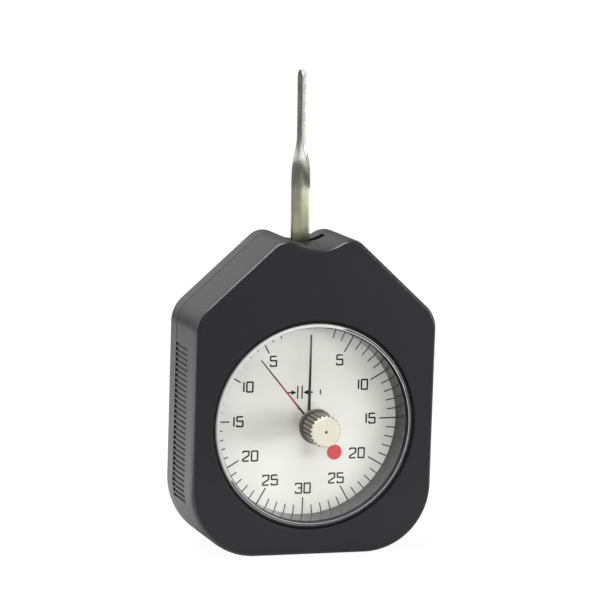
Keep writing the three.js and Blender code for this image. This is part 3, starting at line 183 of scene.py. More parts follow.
class KnobSizes(PropertyGroup):
    """The fluted reset knob."""

    radius: length("Radius", "Radius over the ridges between the flutes", 4)
    flutes: IntProperty(name="Flutes", description="Grooves round the knob", default=22)
    depth: length("Flute depth", "Depth of the grooves", 0.4)
    chamfer: length("Chamfer", "Bevel of the end face", 0.35)
    collar: length("Collar", "Radius of the collar next to the crystal", 4.4)
    collar_height: length("Collar height", "Height of the collar", 0.9)
    neck_height: length("Neck height", "Height of the groove between collar and flutes", 0.8)
    dimple: length("Dimple", "Radius of the centre mark", 0.32)
    bore: length("Bore", "Radius of the bore for the stem", 1)


class LeverSizes(PropertyGroup):
    """The measuring lever with its quarter twist."""

    width: length("Width", "Width of the blade below the twist", 4.8)
    thickness: length("Thickness", "Thickness of the blade", 1)
    top_width: length("Top width", "Width of the blade above the twist", 4.3)
    edge: length("Edge", "Rounding of the blade's long edges", 0.22)
    twist_start: length("Twist start", "Start of the twist above the dial axis", 57)
    twist_end: length("Twist end", "End of the twist above the dial axis", 70.5)
    eye: length("Eye", "Radius of the eye round the arbor", 4.2)
    eye_bore: length("Eye bore", "Radius of the bore in the eye", 2.3)
    lean: angle("Lean", "Lean of the blade to the left, about its arbor", 1.1)
    ridge: length("Ridge", "Height of the forged ridge that runs down from the twist", 0.13)
    ridge_start: length("Ridge start", "Foot of the ridge above the dial axis", 46)


class FinishColours(PropertyGroup):
    """Colours of the visible finishes."""

    casing: colour("Casing", "Moulded plastic of the casing", "#252528")
    # Painted light: the grip slots, the crystal's seat and the well's wall are given this paler colour to lift
    # their shade
    groove: colour("Grooves", "Plastic down in the grip slots", "#58585a")
    # Painted highlight: opaque colours that stand in for the light caught in the clear crystal's rim
    rim: colour("Crystal rim", "Light caught in the crystal's rim, upper left", "#d6d6d4")
    rim_dark: colour("Rim right", "Light caught in the rim, lower right", "#b8b8bc")
    dial: colour("Dial", "Enamel of the dial", "#d9d9d3")
    ink: colour("Ink", "Print on the dial", "#0e0e10")
    black: colour("Black pointer", "Lacquer of the main pointer", "#101013")
    red: colour("Red pointer", "Lacquer of the memory pointer", "#bb4147")
    dark_red: colour("Red needle", "Lacquer of the thin part of the memory pointer", "#8e2f3a")
    lever: colour("Lever", "Nickel plate of the lever", "#c8c9c2")
    lever_root: colour("Lever root", "Nickel plate yellowed by handling, below the twist", "#c6c4a8")
    # Painted highlight as well as the matt finish: pale so that the narrow sides show lit whatever they face
    lever_side: colour("Lever sides", "Ground narrow sides of the lever above its twist", "#dcdcd2")
    knob: colour("Knob", "Satin metal of the knob", "#eeebd9")
    # Painted shade: a darker copy of the knob's metal for its fluted sides and collar
    flute: colour("Flutes", "Metal down in the knob's flutes", "#8f8a7c")
    seal: colour("Seal", "Rubber round the crystal", "#101012")
    brass: colour("Brass", "Bushes and movement", "#c29b53")
    steel: colour("Steel", "Screws and arbors", "#9b9da0")


def settings(name):
    """One of the groups of sizes or colours, as the scene holds it."""
    return getattr(bpy.context.scene, "gauge_" + name)


# Mesh building


def surface(points, wrap_rows=False, wrap_columns=False):
    """A grid of points as vertices and quads. Row i, column j meets its neighbours at i+1 and j+1,
    and the last row or column meets the first where it wraps."""
    rows, columns = points.shape[:2]
    i = np.arange(rows if wrap_rows else rows - 1)[:, None]
    j = np.arange(columns if wrap_columns else columns - 1)[None, :]
    up, across = (i + 1) % rows, (j + 1) % columns
    corners = [i * columns + j, i * columns + across, up * columns + across, up * columns + j]
    quads = np.stack(np.broadcast_arrays(*corners), axis=-1).reshape(-1, 4)
    return points.reshape(-1, 3), quads.tolist()


def flat_patch(loops):
    """A flat face bounded by the first loop of points, with a hole for each further loop."""
    triangles = tessellate_polygon([[Vector(p) for p in loop] for loop in loops])
    return np.concatenate(loops), [list(t) for t in triangles]


def linked(name, data):
    """An object of the data given, in the scene."""
    made = bpy.data.objects.new(name, data)
    bpy.context.scene.collection.objects.link(made)
    return made


def build(name, surfaces, material, body, replaced=(), shades=()):
    """Joins grids into one mesh piece with outward faces, smooth but for sharp edges, and hands it
    to the frame. shades pairs an attribute's name with values for the first vertices."""
    vertices = np.concatenate([points for points, _ in surfaces])
    starts = np.cumsum([0] + [len(points) for points, _ in surfaces[:-1]])
    faces = []
    for (_, grid_faces), start in zip(surfaces, starts):
        faces += (np.asarray(grid_faces) + start).tolist()
    mesh = bpy.data.meshes.new(name)
    mesh.from_pydata(vertices.tolist(), [], faces)
    for attribute, shares in shades:
        values = np.zeros(len(vertices), np.float32)
        values[: shares.size] = shares.ravel()
        layer = mesh.attributes.new(attribute, "FLOAT", "POINT")
        layer.data.foreach_set("value", values)
    welded = bmesh.new()
    welded.from_mesh(mesh)
    bmesh.ops.remove_doubles(welded, verts=welded.verts, dist=WELD)
    bmesh.ops.dissolve_degenerate(welded, edges=welded.edges, dist=SHORTEST_EDGE)
    bmesh.ops.recalc_face_normals(welded, faces=welded.faces)
    welded.to_mesh(mesh)
    welded.free()
    mesh.polygons.foreach_set("use_smooth", np.ones(len(mesh.polygons), bool))
    mesh.set_sharp_from_angle(angle=math.radians(SHARP_ANGLE))
    mesh.materials.append(material)
    piece = linked(name, mesh)
    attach(piece, body)
    if replaced:
        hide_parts(*replaced)
    return piece


def fillet(points, radii, steps=5):
    """Rounds a polyline's corners: each inner corner with a radius becomes an arc of a quadratic
    curve that leaves and meets its two edges at that distance from the corner."""
    points = np.asarray(points, float)
    rounded = [points[:1]]
    t = np.linspace(0, 1, steps)[:, None]
    for before, corner, after, radius in zip(points, points[1:], points[2:], radii):
        if not radius:
            rounded.append(corner[None])
            continue
        into, out = before - corner, after - corner
        start = corner + into * radius / np.linalg.norm(into)
        end = corner + out * radius / np.linalg.norm(out)
        rounded.append((1 - t) ** 2 * start + 2 * t * (1 - t) * corner + t**2 * end)
    return np.concatenate(rounded + [points[-1:]])


def lathe(profile, x=0.0, z=0.0, sides=ROUND_SIDES, closed=False):
    """Turns a profile of radius and depth pairs round a line along Y through x, z."""
    profile = np.asarray(profile, float)
    turn = np.linspace(0, 2 * math.pi, sides, endpoint=False)
    radius, depth = profile[:, 0, None], profile[:, 1, None]
    points = np.stack(
        np.broadcast_arrays(x + radius * np.cos(turn), depth, z + radius * np.sin(turn)), axis=-1
    )
    return surface(points, wrap_rows=closed, wrap_columns=True)


def flat_ring(bore, outer, front, back, height=AXIS_HEIGHT, sides=ROUND_SIDES):
    """A flat ring round a line along Y at a height."""
    profile = [(bore, front), (outer, front), (outer, back), (bore, back)]
    return lathe(profile, 0, height, sides, closed=True)


def turned_left(surfaces, turn, height):
    """Turns surfaces about a line along Y at a height, to the left as the dial's reader sees it."""
    centre = np.array([0, 0, height])
    cosine, sine = math.cos(turn), math.sin(turn)
    rotation = np.array([[cosine, 0, -sine], [0, 1, 0], [sine, 0, cosine]])
    return [((points - centre) @ rotation.T + centre, faces) for points, faces in surfaces]


def plate(outline, front, back):
    """A flat plate: an outline in X and Z, straight sides, and both faces filled."""
    rings = np.zeros((2, len(outline), 3))
    rings[..., [0, 2]] = outline
    rings[..., 1] = [[front], [back]]
    return [surface(rings, wrap_columns=True), flat_patch(rings[:1]), flat_patch(rings[1:])]


def ribbon(path, width, front, back):
    """A flat line of even width along a path in X and Z, with mitred bends and square ends."""
    path = np.asarray(path, float)
    along = np.diff(path, axis=0)
    along /= np.linalg.norm(along, axis=1)[:, None]
    side = np.stack([-along[:, 1], along[:, 0]], axis=-1)
    before, after = np.vstack([side[:1], side]), np.vstack([side, side[-1:]])
    mitre = before + after
    mitre /= np.sum(mitre * before, axis=1)[:, None]
    left, right = path + mitre * width / 2, path - mitre * width / 2
    edges = ((left, front), (right, front), (right, back), (left, back))
    points = np.array([[(x, y, z) for x, z in edge] for edge, y in edges])
    skin = surface(points, wrap_rows=True)
    caps = [(points[:, k], [[0, 1, 2, 3]]) for k in (0, -1)]
    return [skin, *caps]


# The casing's outline


def arc(centre, radius, start, end):
    """Points and outward normals of an arc, its angles in degrees from +X towards +Z."""
    count = max(2, round(abs(end - start) / ARC_STEP)) + 1
    turn = np.radians(np.linspace(start, end, count))
    normals = np.stack([np.cos(turn), np.sin(turn)], axis=-1)
    return np.asarray(centre) + radius * normals, normals


def line(start, end, normal, count):
    """Points between two ends, both left out, and their normals."""
    share = np.linspace(0, 1, count + 2)[1:-1, None]
    points = np.asarray(start) * (1 - share) + np.asarray(end) * share
    return points, np.tile(normal, (count, 1))


GRIP_EDGE, SLOT_EDGE = 0.05 * MM, 0.04 * MM  # half the slant of a slot's edge
GUARD = 0.3 * MM  # a row this far from a rounding keeps a flat face's shading flat
WINDOW_STEPS = 4  # of the rounding round the window
SADDLE_POINTS, FLANK_POINTS, SLOPE_POINTS, BOTTOM_POINTS = 16, 4, 20, 10
RUBBED_START = 3  # the row of the front edge's rounding from which it is rubbed
SEAT_PAINTED_LIGHT = [[0.9], [0.5], [0.25]]  # painted light: paleness of the crystal's seat, its edge and the well's floor


def grip_levels(size):
    """Heights of the grip slots' edges, two close together for each edge, from the bottom up, and
    for each height whether it lies down in a slot."""
    middles = AXIS_HEIGHT + size.grip_top - size.grip_pitch * np.arange(size.grip_count)[::-1]
    half, soft = size.grip_width / 2, GRIP_EDGE
    offsets = np.array([-half - soft, -half + soft, half - soft, half + soft])
    levels = (middles[:, None] + offsets).ravel()
    return levels, np.tile([0.0, 1.0, 1.0, 0.0], size.grip_count)


def saddle(x, size):
    """Points and normals at places across the top: the round of a peak as far as the dip's arc,
    which is the circle that both peaks' rounds and the dip's lowest point touch."""
    radius = (size.peak_offset**2 + size.saddle**2) / (2 * size.saddle) - size.peak
    join = size.peak_offset * radius / (radius + size.peak)
    from_peak = x - size.peak_offset
    rise = np.sqrt(np.maximum(size.peak**2 - from_peak**2, 0))
    drop = np.sqrt(radius**2 - x**2)
    on_peak = x > join
    z = np.where(on_peak, rise - size.peak, radius - size.saddle - drop) + COVER_HIGH.z
    peak_normals = np.stack([from_peak, rise], axis=-1) / size.peak
    dip_normals = np.stack([-x, drop], axis=-1) / radius
    return np.stack([x, z], axis=-1), np.where(on_peak[:, None], peak_normals, dip_normals)


def casing_outline(size):
    """The casing's outline from the bottom's middle round the right side to the saddle's middle and
    back down the left: its points, outward normals and the share of a grip slot at each."""
    half = COVER_HIGH.x
    corner_x, shoulder_x = half - size.corner, half - size.shoulder
    slope = 90 - math.degrees(size.slope)
    peak_z = COVER_HIGH.z - size.peak
    rise = math.cos(math.radians(slope)) * (size.peak_offset - shoulder_x)
    shoulder_z = peak_z + (rise + size.peak - size.shoulder) / math.sin(math.radians(slope))
    across = size.slot_reach
    slot_end = math.degrees(math.acos((across + SLOT_EDGE - size.peak_offset) / size.peak))

    levels, slots = grip_levels(size)
    sine = np.minimum(levels / size.corner - 1, 0)
    cosine = np.sqrt(1 - sine**2)
    flank = np.stack([corner_x + size.corner * cosine, levels], axis=-1)
    start = math.degrees(math.asin(sine[0]))
    corner = arc((corner_x, size.corner), size.corner, -90, start - ARC_STEP / 2)
    shoulder = arc((shoulder_x, shoulder_z), size.shoulder, 0, slope)
    peak = arc((size.peak_offset, peak_z), size.peak, slope, slot_end)
    x = np.concatenate([[across - SLOT_EDGE], np.linspace(across, 0, SADDLE_POINTS)[1:]])
    parts = [
        line((0, 0), (corner_x, 0), (0, -1), BOTTOM_POINTS),
        corner,
        (flank, np.stack([cosine, sine], axis=-1)),
        line(flank[-1], shoulder[0][0], (1, 0), FLANK_POINTS),
        shoulder,
        line(shoulder[0][-1], peak[0][0], shoulder[1][-1], SLOPE_POINTS),
        peak,
        saddle(x, size),
    ]
    points = np.concatenate([p for p, _ in parts])
    normals = np.concatenate([n for _, n in parts])
    shares = np.concatenate([slots if p is flank else np.zeros(len(p)) for p, _ in parts])
    mirror = np.array([-1, 1])
    bottom = np.array([[0.0, 0.0]])
    return (
        np.concatenate([bottom, points, points[-2::-1] * mirror]),
        np.concatenate([[[0.0, -1.0]], normals, normals[-2::-1] * mirror]),
        np.concatenate([[0.0], shares, shares[-2::-1]]),
    )


def in_lever_slot(size, outline):
    """True where the outline runs across the lever's slot."""
    return (np.abs(outline[:, 0]) < size.slot_reach) & (outline[:, 1] > ARBOR_HEIGHT)


def outline_rows(size, outline, rows):
    """Rings that follow the casing's outline. Each row gives how far its ring is drawn in, its depth
    and how deep the grip slots are there, as a share of their depth."""
    points, normals, slots = outline
    rings, shades = [], []
    for inset, depth, share in rows:
        ring = points - normals * inset
        cut = slots * share
        x = ring[:, 0] - np.sign(ring[:, 0]) * size.grip_depth * cut
        rings.append(np.stack([x, np.full(len(x), depth), ring[:, 1]], axis=-1))
        shades.append(cut)
    return np.array(rings), np.array(shades)


def window_rows(outline, rows):
    """Rings round the dial's axis, each point at the same angle as the outline's point there."""
    turn = np.arctan2(outline[:, 1] - AXIS_HEIGHT, outline[:, 0])
    return np.array(
        [
            np.stack([r * np.cos(turn), np.full(len(turn), y), AXIS_HEIGHT + r * np.sin(turn)], -1)
            for r, y in rows
        ]
    )


def rounding(inset, steps=8, along=None):
    """A quarter of an ellipse, or of a circle where along isn't given: how far in and how far along
    each of its rows lies."""
    turn = np.linspace(0, math.pi / 2, steps + 1)
    return zip(inset * (1 - np.cos(turn)), (along or inset) * np.sin(turn))


def front_cover_surface(size):
    """The front cover as one closed loop of rings: up the outside from the parting line, over the
    rounded edge, across the face to the window, down its steps, and back inside to the start."""
    outline = casing_outline(size)
    slot_end = FRONT + size.grip_front
    crystal_seat = CRYSTAL_HIGH.y
    inset, run = size.front_inset, size.front_run
    rounded = [(i, FRONT + run - a, 0) for i, a in rounding(inset, steps=10, along=run)]
    outside = [
        (size.parting, SEAM, 1),
        (0, SEAM - size.parting, 1),
        (0, SEAM - size.parting - GUARD, 1),
        (0, slot_end + GRIP_EDGE, 1),
        (0, slot_end - GRIP_EDGE, 0),
        (0, FRONT + run + GUARD, 0),
        *rounded,
        (inset + GUARD, FRONT, 0),
    ]
    radius = size.window
    steps = [(radius + i, FRONT + size.window_edge - a) for i, a in rounding(size.window_edge, WINDOW_STEPS)]
    window = [
        (radius + size.window_edge + GUARD, FRONT),
        *steps[::-1],
        (radius, crystal_seat),
        (size.well, crystal_seat),
        (size.well - size.well_taper, DIAL_LOW.y),
        (radius + size.well_rim, DIAL_LOW.y),
        (radius + size.well_rim, crystal_seat),
    ]
    inside = [(size.wall, crystal_seat, 0), (size.wall, SEAM, 0)]
    outer, shades = outline_rows(size, outline, outside)
    inner, _ = outline_rows(size, outline, inside)
    middle = window_rows(outline[0], window)
    points = np.concatenate([outer, middle, inner])
    # Painted light: paler rows at the crystal's seat and down the well's wall
    seat = np.zeros_like(middle[..., 0])
    seat_start = window.index((radius, crystal_seat))
    seat[seat_start : seat_start + len(SEAT_PAINTED_LIGHT)] = SEAT_PAINTED_LIGHT
    notch = in_lever_slot(size, outline[0])
    points[:, notch, 1] = np.minimum(points[:, notch, 1], SEAM - size.slot_width)
    edges = np.zeros_like(shades)
    edges[outside.index(rounded[RUBBED_START]) : outside.index(rounded[-1])] = 1
    shell = surface(points, wrap_rows=True, wrap_columns=True)
    return shell, [("groove", np.concatenate([shades, seat])), ("edge", edges)]


def case_screws():
    """Each case screw's name, the place of its middle in X and Z, and the depth of its tip."""
    names = [n for n in frame["nodes"] if n.startswith("case_screw")]
    boxes = [(name, *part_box(name)) for name in sorted(names)]
    return [(name, (low.x + high.x) / 2, (low.z + high.z) / 2, low.y) for name, low, high in boxes]


def circle(radius, x, z, depth, sides=ROUND_SIDES):
    """Points of a circle at one depth."""
    turn = np.linspace(0, 2 * math.pi, sides, endpoint=False)
    return np.stack(
        [x + radius * np.cos(turn), np.full(sides, depth), z + radius * np.sin(turn)], axis=-1
    )


def rear_cover_surfaces(size):
    """The rear cover: rings from its inner floor over the lip and round the outside to the back
    face, both flat faces with a hole for each screw, and the steps inside those holes."""
    outline = casing_outline(size)
    floor = BACK - size.wall
    front = SEAM + size.lip_gap
    lip_in = size.wall + size.lip_gap + size.lip
    rounded = [(i, BACK - size.edge + a, 0) for i, a in rounding(size.edge)]
    rows = [
        (lip_in, floor, 0),
        (lip_in, front - size.lip_reach, 0),
        (size.wall + size.lip_gap, front - size.lip_reach, 0),
        (size.wall + size.lip_gap, front, 0),
        (size.parting, front, 0),
        (0, front + size.parting, 0),
        (0, front + size.parting + GUARD, 0),
        (0, BACK - size.edge - GUARD, 0),
        *rounded,
        (size.edge + GUARD, BACK, 0),
    ]
    points, _ = outline_rows(size, outline, rows)
    notch = in_lever_slot(size, outline[0])
    points[:, notch, 1] = np.maximum(points[:, notch, 1], front)
    seat = BACK - size.screw_sink - size.screw_depth
    holes, back_loops, floor_loops = [], [points[-1]], [points[0]]
    for _, x, z, _ in case_screws():
        steps = [
            (size.screw_recess, BACK),
            (size.screw_recess, seat),
            (size.screw_recess / 2, seat),
            (size.screw_recess / 2, floor),
        ]
        holes.append(lathe(steps, x, z))
        back_loops.append(circle(size.screw_recess, x, z, BACK))
        floor_loops.append(circle(size.screw_recess / 2, x, z, floor))
    shell = surface(points, wrap_columns=True)
    return [shell, flat_patch(back_loops), flat_patch(floor_loops), *holes]


# Materials


def add(tree, kind, sockets=None, **options):
    """Adds a shader node with its options, sockets and links. A socket is given a value, or another
    node's output that it is linked to; a whole node stands for its first output."""
    node = tree.nodes.new("ShaderNode" + kind)
    for key, value in options.items():
        setattr(node, key, value)
    for socket, value in (sockets or {}).items():
        if isinstance(value, bpy.types.Node):
            value = value.outputs[0]
        if isinstance(value, bpy.types.NodeSocket):
            tree.links.new(value, node.inputs[socket])
        else:
            node.inputs[socket].default_value = value
    return node


def new_material(name):
    """An empty node material, its tree and its Object coordinates."""
    material = bpy.data.materials.new(name)
    material.use_nodes = True
    tree = material.node_tree
    tree.nodes.clear()
    return material, tree, add(tree, "TexCoord").outputs["Object"]


def finished(material, shader):
    """The material with a shader on its surface."""
    add(material.node_tree, "OutputMaterial", {"Surface": shader})
    return material


def rgba(rgb, share=1.0):
    """A colour with full alpha, darkened or lightened by a share."""
    return (*[min(1.0, c * share) for c in rgb], 1.0)


def set_stops(ramp, stops):
    """Gives a colour ramp its stops, each a value from 0 to 1 and a colour with alpha."""
    elements = ramp.color_ramp.elements
    while len(elements) < len(stops):
        elements.new(1.0)
    for element, (position, shade) in zip(elements, stops):
        element.position = position
        element.color = shade


DARK_SPOT, PALE_SPOT = 0.3, 0.7  # of a noise's range: where a spot is darkest and palest


def mottled(tree, place, rgb, size_mm, spread):
    """A colour that varies a little from spot to spot, spots of about the size given."""
    noise = add(
        tree, "TexNoise", {"Vector": place, "Scale": 1 / (size_mm * MM), "Detail": 3.0, "Roughness": 0.6}
    )
    ramp = add(tree, "ValToRGB", {"Fac": noise})
    set_stops(ramp, [(DARK_SPOT, rgba(rgb, 1 - spread)), (PALE_SPOT, rgba(rgb, 1 + spread))])
    return ramp


def grain(tree, place, size_mm, height_mm, stretch=(1, 1, 1), strength=0.6):
    """The bump of a surface's grain, drawn out along an axis where its stretch is under 1, and as
    strong as a number or a node says."""
    mapping = add(tree, "Mapping", {"Vector": place, "Scale": stretch})
    noise = add(
        tree, "TexNoise", {"Vector": mapping, "Scale": 1 / (size_mm * MM), "Detail": 2.0, "Roughness": 0.5}
    )
    return add(tree, "Bump", {"Height": noise, "Distance": height_mm * MM, "Strength": strength})


def axis_distance(tree, place):
    """How far a point lies from the dial's axis, in metres."""
    centred = add(
        tree, "Mapping", {"Vector": place, "Location": (0, 0, -AXIS_HEIGHT), "Scale": (1, 0, 1)}
    )
    return add(tree, "VectorMath", {0: centred}, operation="LENGTH").outputs["Value"]


def colour_along(tree, place, direction, reach, stops):
    """A colour that follows how far a point lies from the dial's axis along a direction. Its stops
    run from 0 at one end of the reach, behind the axis, to 1 at the other end."""
    centred = add(tree, "Mapping", {"Vector": place, "Location": (0, 0, -AXIS_HEIGHT)})
    along = add(tree, "VectorMath", {0: centred, 1: direction}, operation="DOT_PRODUCT")
    share = add(
        tree, "MapRange", {"Value": along.outputs["Value"], "From Min": -reach, "From Max": reach}
    )
    ramp = add(tree, "ValToRGB", {"Fac": share})
    set_stops(ramp, [(position, rgba(rgb)) for position, rgb in stops])
    return ramp


def plain_finish(
    name, rgb, roughness, metallic=0.0, ior=1.5, spread=0.04, spot_mm=2.0, grit_mm=None
):
    """A finish of one colour that varies a little, with an optional fine grain that is given by the
    size and the height of its bumps."""
    material, tree, place = new_material(name)
    sockets = {
        "Base Color": mottled(tree, place, rgb, spot_mm, spread),
        "Roughness": roughness,
        "Metallic": metallic,
        "IOR": ior,
    }
    if grit_mm:
        sockets["Normal"] = grain(tree, place, *grit_mm)
    return finished(material, add(tree, "BsdfPrincipled", sockets))


def turned_metal(name, rgb, roughness):
    """Metal turned in a lathe or sawn from sheet: fine marks and a slightly uneven shine."""
    return plain_finish(
        name, rgb, roughness, metallic=1.0, spread=0.08, spot_mm=1.0, grit_mm=(0.2, 0.01)
    )


WELL_STEP = 0.1 * MM  # beyond the well's radius: where its smooth wall ends and the grain begins
FRONT_SHINE, REAR_SHINE, EDGE_SHINE = 0.25, 0.36, 0.7  # specular levels of the casing
WELL_ROUGHNESS, GRAIN_ROUGHNESS, EDGE_ROUGHNESS = 0.16, 0.4, 0.26


def moulded_abs(colours, size):
    """ABS moulded in a spark-eroded tool: near black, with a fine even grain that spreads what it
    reflects, so that only what is seen at a flat angle shines grey. Its front edge is rubbed
    smooth and catches a line of light. The grip slots, the crystal's seat and the well's wall are
    painted paler, a painted light that lifts their shade. The wall of the dial's well is smooth
    and mirrors the dial faintly."""
    material, tree, place = new_material("moulded_abs")
    # Painted light: the groove attribute makes the slots, the seat and the well paler
    groove = add(tree, "Attribute", attribute_name="groove").outputs["Fac"]
    edge = add(tree, "Attribute", attribute_name="edge").outputs["Fac"]
    plastic = mottled(tree, place, colours.casing, size_mm=3.0, spread=0.05)
    mixed = add(tree, "MixRGB", {"Fac": groove, "Color1": plastic, "Color2": rgba(colours.groove)})
    rear = add(
        tree,
        "MapRange",
        {
            "Value": add(tree, "SeparateXYZ", {"Vector": place}).outputs["Y"],
            "From Min": SEAM - size.parting,
            "From Max": SEAM,
            "To Min": FRONT_SHINE,
            "To Max": REAR_SHINE,
        },
    )
    well = size.well + WELL_STEP
    outside = add(
        tree,
        "MapRange",
        {"Value": axis_distance(tree, place), "From Min": well, "From Max": well + WELL_STEP},
    )
    plain = add(
        tree, "MapRange", {"Value": outside, "To Min": WELL_ROUGHNESS, "To Max": GRAIN_ROUGHNESS}
    )
    shader = add(
        tree,
        "BsdfPrincipled",
        {
            "Base Color": mixed,
            "IOR": 1.54,
            "Specular IOR Level": add(
                tree, "MapRange", {"Value": edge, "To Min": rear, "To Max": EDGE_SHINE}
            ),
            "Roughness": add(
                tree, "MapRange", {"Value": edge, "To Min": plain, "To Max": EDGE_ROUGHNESS}
            ),
            "Normal": grain(tree, place, size_mm=0.35, height_mm=0.012, strength=outside),
        },
    )
    return finished(material, shader)


def clear_acrylic():
    """Cast acrylic, polished: clear, with a sharp gloss. Lamps shine through it onto the dial."""
    material, tree, _ = new_material("clear_acrylic")
    glass = add(
        tree,
        "BsdfPrincipled",
        {"Base Color": WHITE, "Roughness": 0.0, "IOR": 1.49, "Transmission Weight": 1.0},
    )
    shadow = add(tree, "LightPath").outputs["Is Shadow Ray"]
    through = add(tree, "BsdfTransparent")
    return finished(material, add(tree, "MixShader", {0: shadow, 1: glass, 2: through}))


RIM_LIGHT = (-0.8, 0, 0.6)  # the direction of the light that the crystal's rim gathers, painted into its colour
# Where the colours of the rim and of the memory pointer change, as stops of colour_along
DARK_RIM_END, LIGHT_RIM_START = 0.1, 0.7
DISC_END, BLACK_START, BLACK_END, RED_START, RED_END, TIP_START = 0.36, 0.38, 0.61, 0.66, 0.79, 0.84
NEEDLE_BLACK = "#161012"


def acrylic_rim(colours):
    """Painted highlight on the polished corners of the crystal's rim: opaque colours in place of the
    light that the clear acrylic gathers from the upper left, so the corners show as fine lines that
    are bright there and fade to grey on the lower right."""
    material, tree, place = new_material("acrylic_rim")
    stops = [(DARK_RIM_END, colours.rim_dark), (LIGHT_RIM_START, colours.rim)]
    shade = colour_along(tree, place, RIM_LIGHT, CRYSTAL_HIGH.x, stops)
    shader = add(tree, "BsdfPrincipled", {"Base Color": shade, "Roughness": 0.15, "IOR": 1.2})
    return finished(material, shader)


def red_lacquer(colours, size):
    """The memory pointer's colour along its length: black by its hub, dark red along the middle and
    black again where the needle gets thin. The disc on the tail is a clear red all over."""
    material, tree, place = new_material("red_lacquer")
    along = (-math.sin(size.memory_angle), 0, math.cos(size.memory_angle))
    black, dark_red = linear(NEEDLE_BLACK), colours.dark_red
    stops = [(DISC_END, colours.red), (BLACK_START, black), (BLACK_END, black)]
    stops += [(RED_START, dark_red), (RED_END, dark_red), (TIP_START, black)]
    shade = colour_along(tree, place, along, size.memory_reach, stops)
    shader = add(tree, "BsdfPrincipled", {"Base Color": shade, "Roughness": 0.5, "IOR": 1.35})
    return finished(material, shader)


DIMPLE_SHADE_SHARE, GROOVE_SHARE, COLLAR_SHARE = 0.3, 0.22, 0.55  # of the flutes' paleness: painted shade in the centre dimple, down in the flutes and on the collar
RUBBED_DEPTH, RUBBED_FADE = 0.4 * MM, 0.15 * MM  # of the knob's end: how far its pale face runs before the sides' painted shade
DIMPLE_SHADE_FADE = 0.06 * MM
KNOB_STEP = 0.1 * MM  # the length of a small step on the knob


def satin_knob(colours, size):
    """Satin metal, cast and barrelled, pale on its end face. Its sides take a darker copy of its colour,
    a painted shade, darker still down in the flutes and on the collar, and the centre dimple is
    painted dark too. It is dull enough to show no clear reflection."""
    material, tree, place = new_material("satin_nickel_silver")
    distance = axis_distance(tree, place)
    depth = add(tree, "SeparateXYZ", {"Vector": place}).outputs["Y"]
    ridge = add(
        tree,
        "MapRange",
        {
            "Value": distance,
            "From Min": size.radius - size.depth,
            "From Max": size.radius - size.depth / 8,
        },
    )
    # Painted shade down in the flutes
    flute = rgba(colours.flute, GROOVE_SHARE)
    flute_shading = add(tree, "MixRGB", {"Fac": ridge, "Color1": flute, "Color2": rgba(colours.flute)})
    collar_front = KNOB_HIGH.y - size.collar_height
    collar = add(
        tree,
        "MapRange",
        {"Value": depth, "From Min": collar_front - KNOB_STEP, "From Max": collar_front},
    )
    # Painted shade on the collar
    painted_shade = rgba(colours.flute, COLLAR_SHARE)
    shaded_sides = add(tree, "MixRGB", {"Fac": collar, "Color1": flute_shading, "Color2": painted_shade})
    # Painted shade in the centre dimple
    beyond_dimple_shade = add(
        tree,
        "MapRange",
        {"Value": distance, "From Min": size.dimple, "From Max": size.dimple + DIMPLE_SHADE_FADE},
    )
    rubbed = mottled(tree, place, colours.knob, size_mm=1.5, spread=0.03)
    mark = rgba(colours.flute, DIMPLE_SHADE_SHARE)
    pale = add(tree, "MixRGB", {"Fac": beyond_dimple_shade, "Color1": mark, "Color2": rubbed})
    face = KNOB_LOW.y + RUBBED_DEPTH
    side = add(tree, "MapRange", {"Value": depth, "From Min": face, "From Max": face + RUBBED_FADE})
    shader = add(
        tree,
        "BsdfPrincipled",
        {
            "Base Color": add(tree, "MixRGB", {"Fac": side, "Color1": pale, "Color2": shaded_sides}),
            "Roughness": 0.45,
            "Metallic": 0.3,
            "Normal": grain(tree, place, size_mm=0.25, height_mm=0.01),
        },
    )
    return finished(material, shader)


YELLOW_BELOW, YELLOW_ABOVE = 4 * MM, 8 * MM  # of the twist's start: where the yellow fades
PLATE_SHARPEST, PLATE_DULLEST = 0.22, 0.4  # roughness of the nickel
GROUND_METALLIC = 0.35  # of the ground narrow sides


def nickel_plate(colours, twist):
    """Nickel plate over a blade polished along its length: a soft mirror with fine lines that run
    up the blade and dull patches where it has been handled, and yellowed below its twist. Above
    the twist the narrow sides are matt from grinding and speckled, and painted pale as a painted
    highlight, so they stay pale whatever they face."""
    material, tree, place = new_material("nickel_plate")
    side = add(tree, "Attribute", attribute_name="side").outputs["Fac"]
    above = add(
        tree,
        "MapRange",
        {
            "Value": add(tree, "SeparateXYZ", {"Vector": place}).outputs["Z"],
            "From Min": twist - YELLOW_BELOW,
            "From Max": twist + YELLOW_ABOVE,
        },
    )
    yellowed = mottled(tree, place, colours.lever_root, size_mm=1.5, spread=0.1)
    broad = add(tree, "MixRGB", {"Fac": above, "Color1": yellowed, "Color2": rgba(colours.lever)})
    # Painted highlight as well as the matt finish of the narrow sides
    ground_and_sheen = mottled(tree, place, colours.lever_side, size_mm=0.5, spread=0.3)
    patches = add(tree, "TexNoise", {"Vector": place, "Scale": 1 / (2.5 * MM), "Detail": 4.0})
    shader = add(
        tree,
        "BsdfPrincipled",
        {
            "Base Color": add(tree, "MixRGB", {"Fac": side, "Color1": broad, "Color2": ground_and_sheen}),
            "Metallic": add(
                tree, "MapRange", {"Value": side, "To Min": 1.0, "To Max": GROUND_METALLIC}
            ),
            "Roughness": add(
                tree,
                "MapRange",
                {"Value": patches, "To Min": PLATE_SHARPEST, "To Max": PLATE_DULLEST},
            ),
            "Normal": grain(tree, place, size_mm=0.12, height_mm=0.006, stretch=(1, 1, 0.02)),
        },
    )
    return finished(material, shader)


# Pieces


class GaugeOperator:
    """What every operator of this file shares."""

    bl_options = {"REGISTER", "UNDO"}


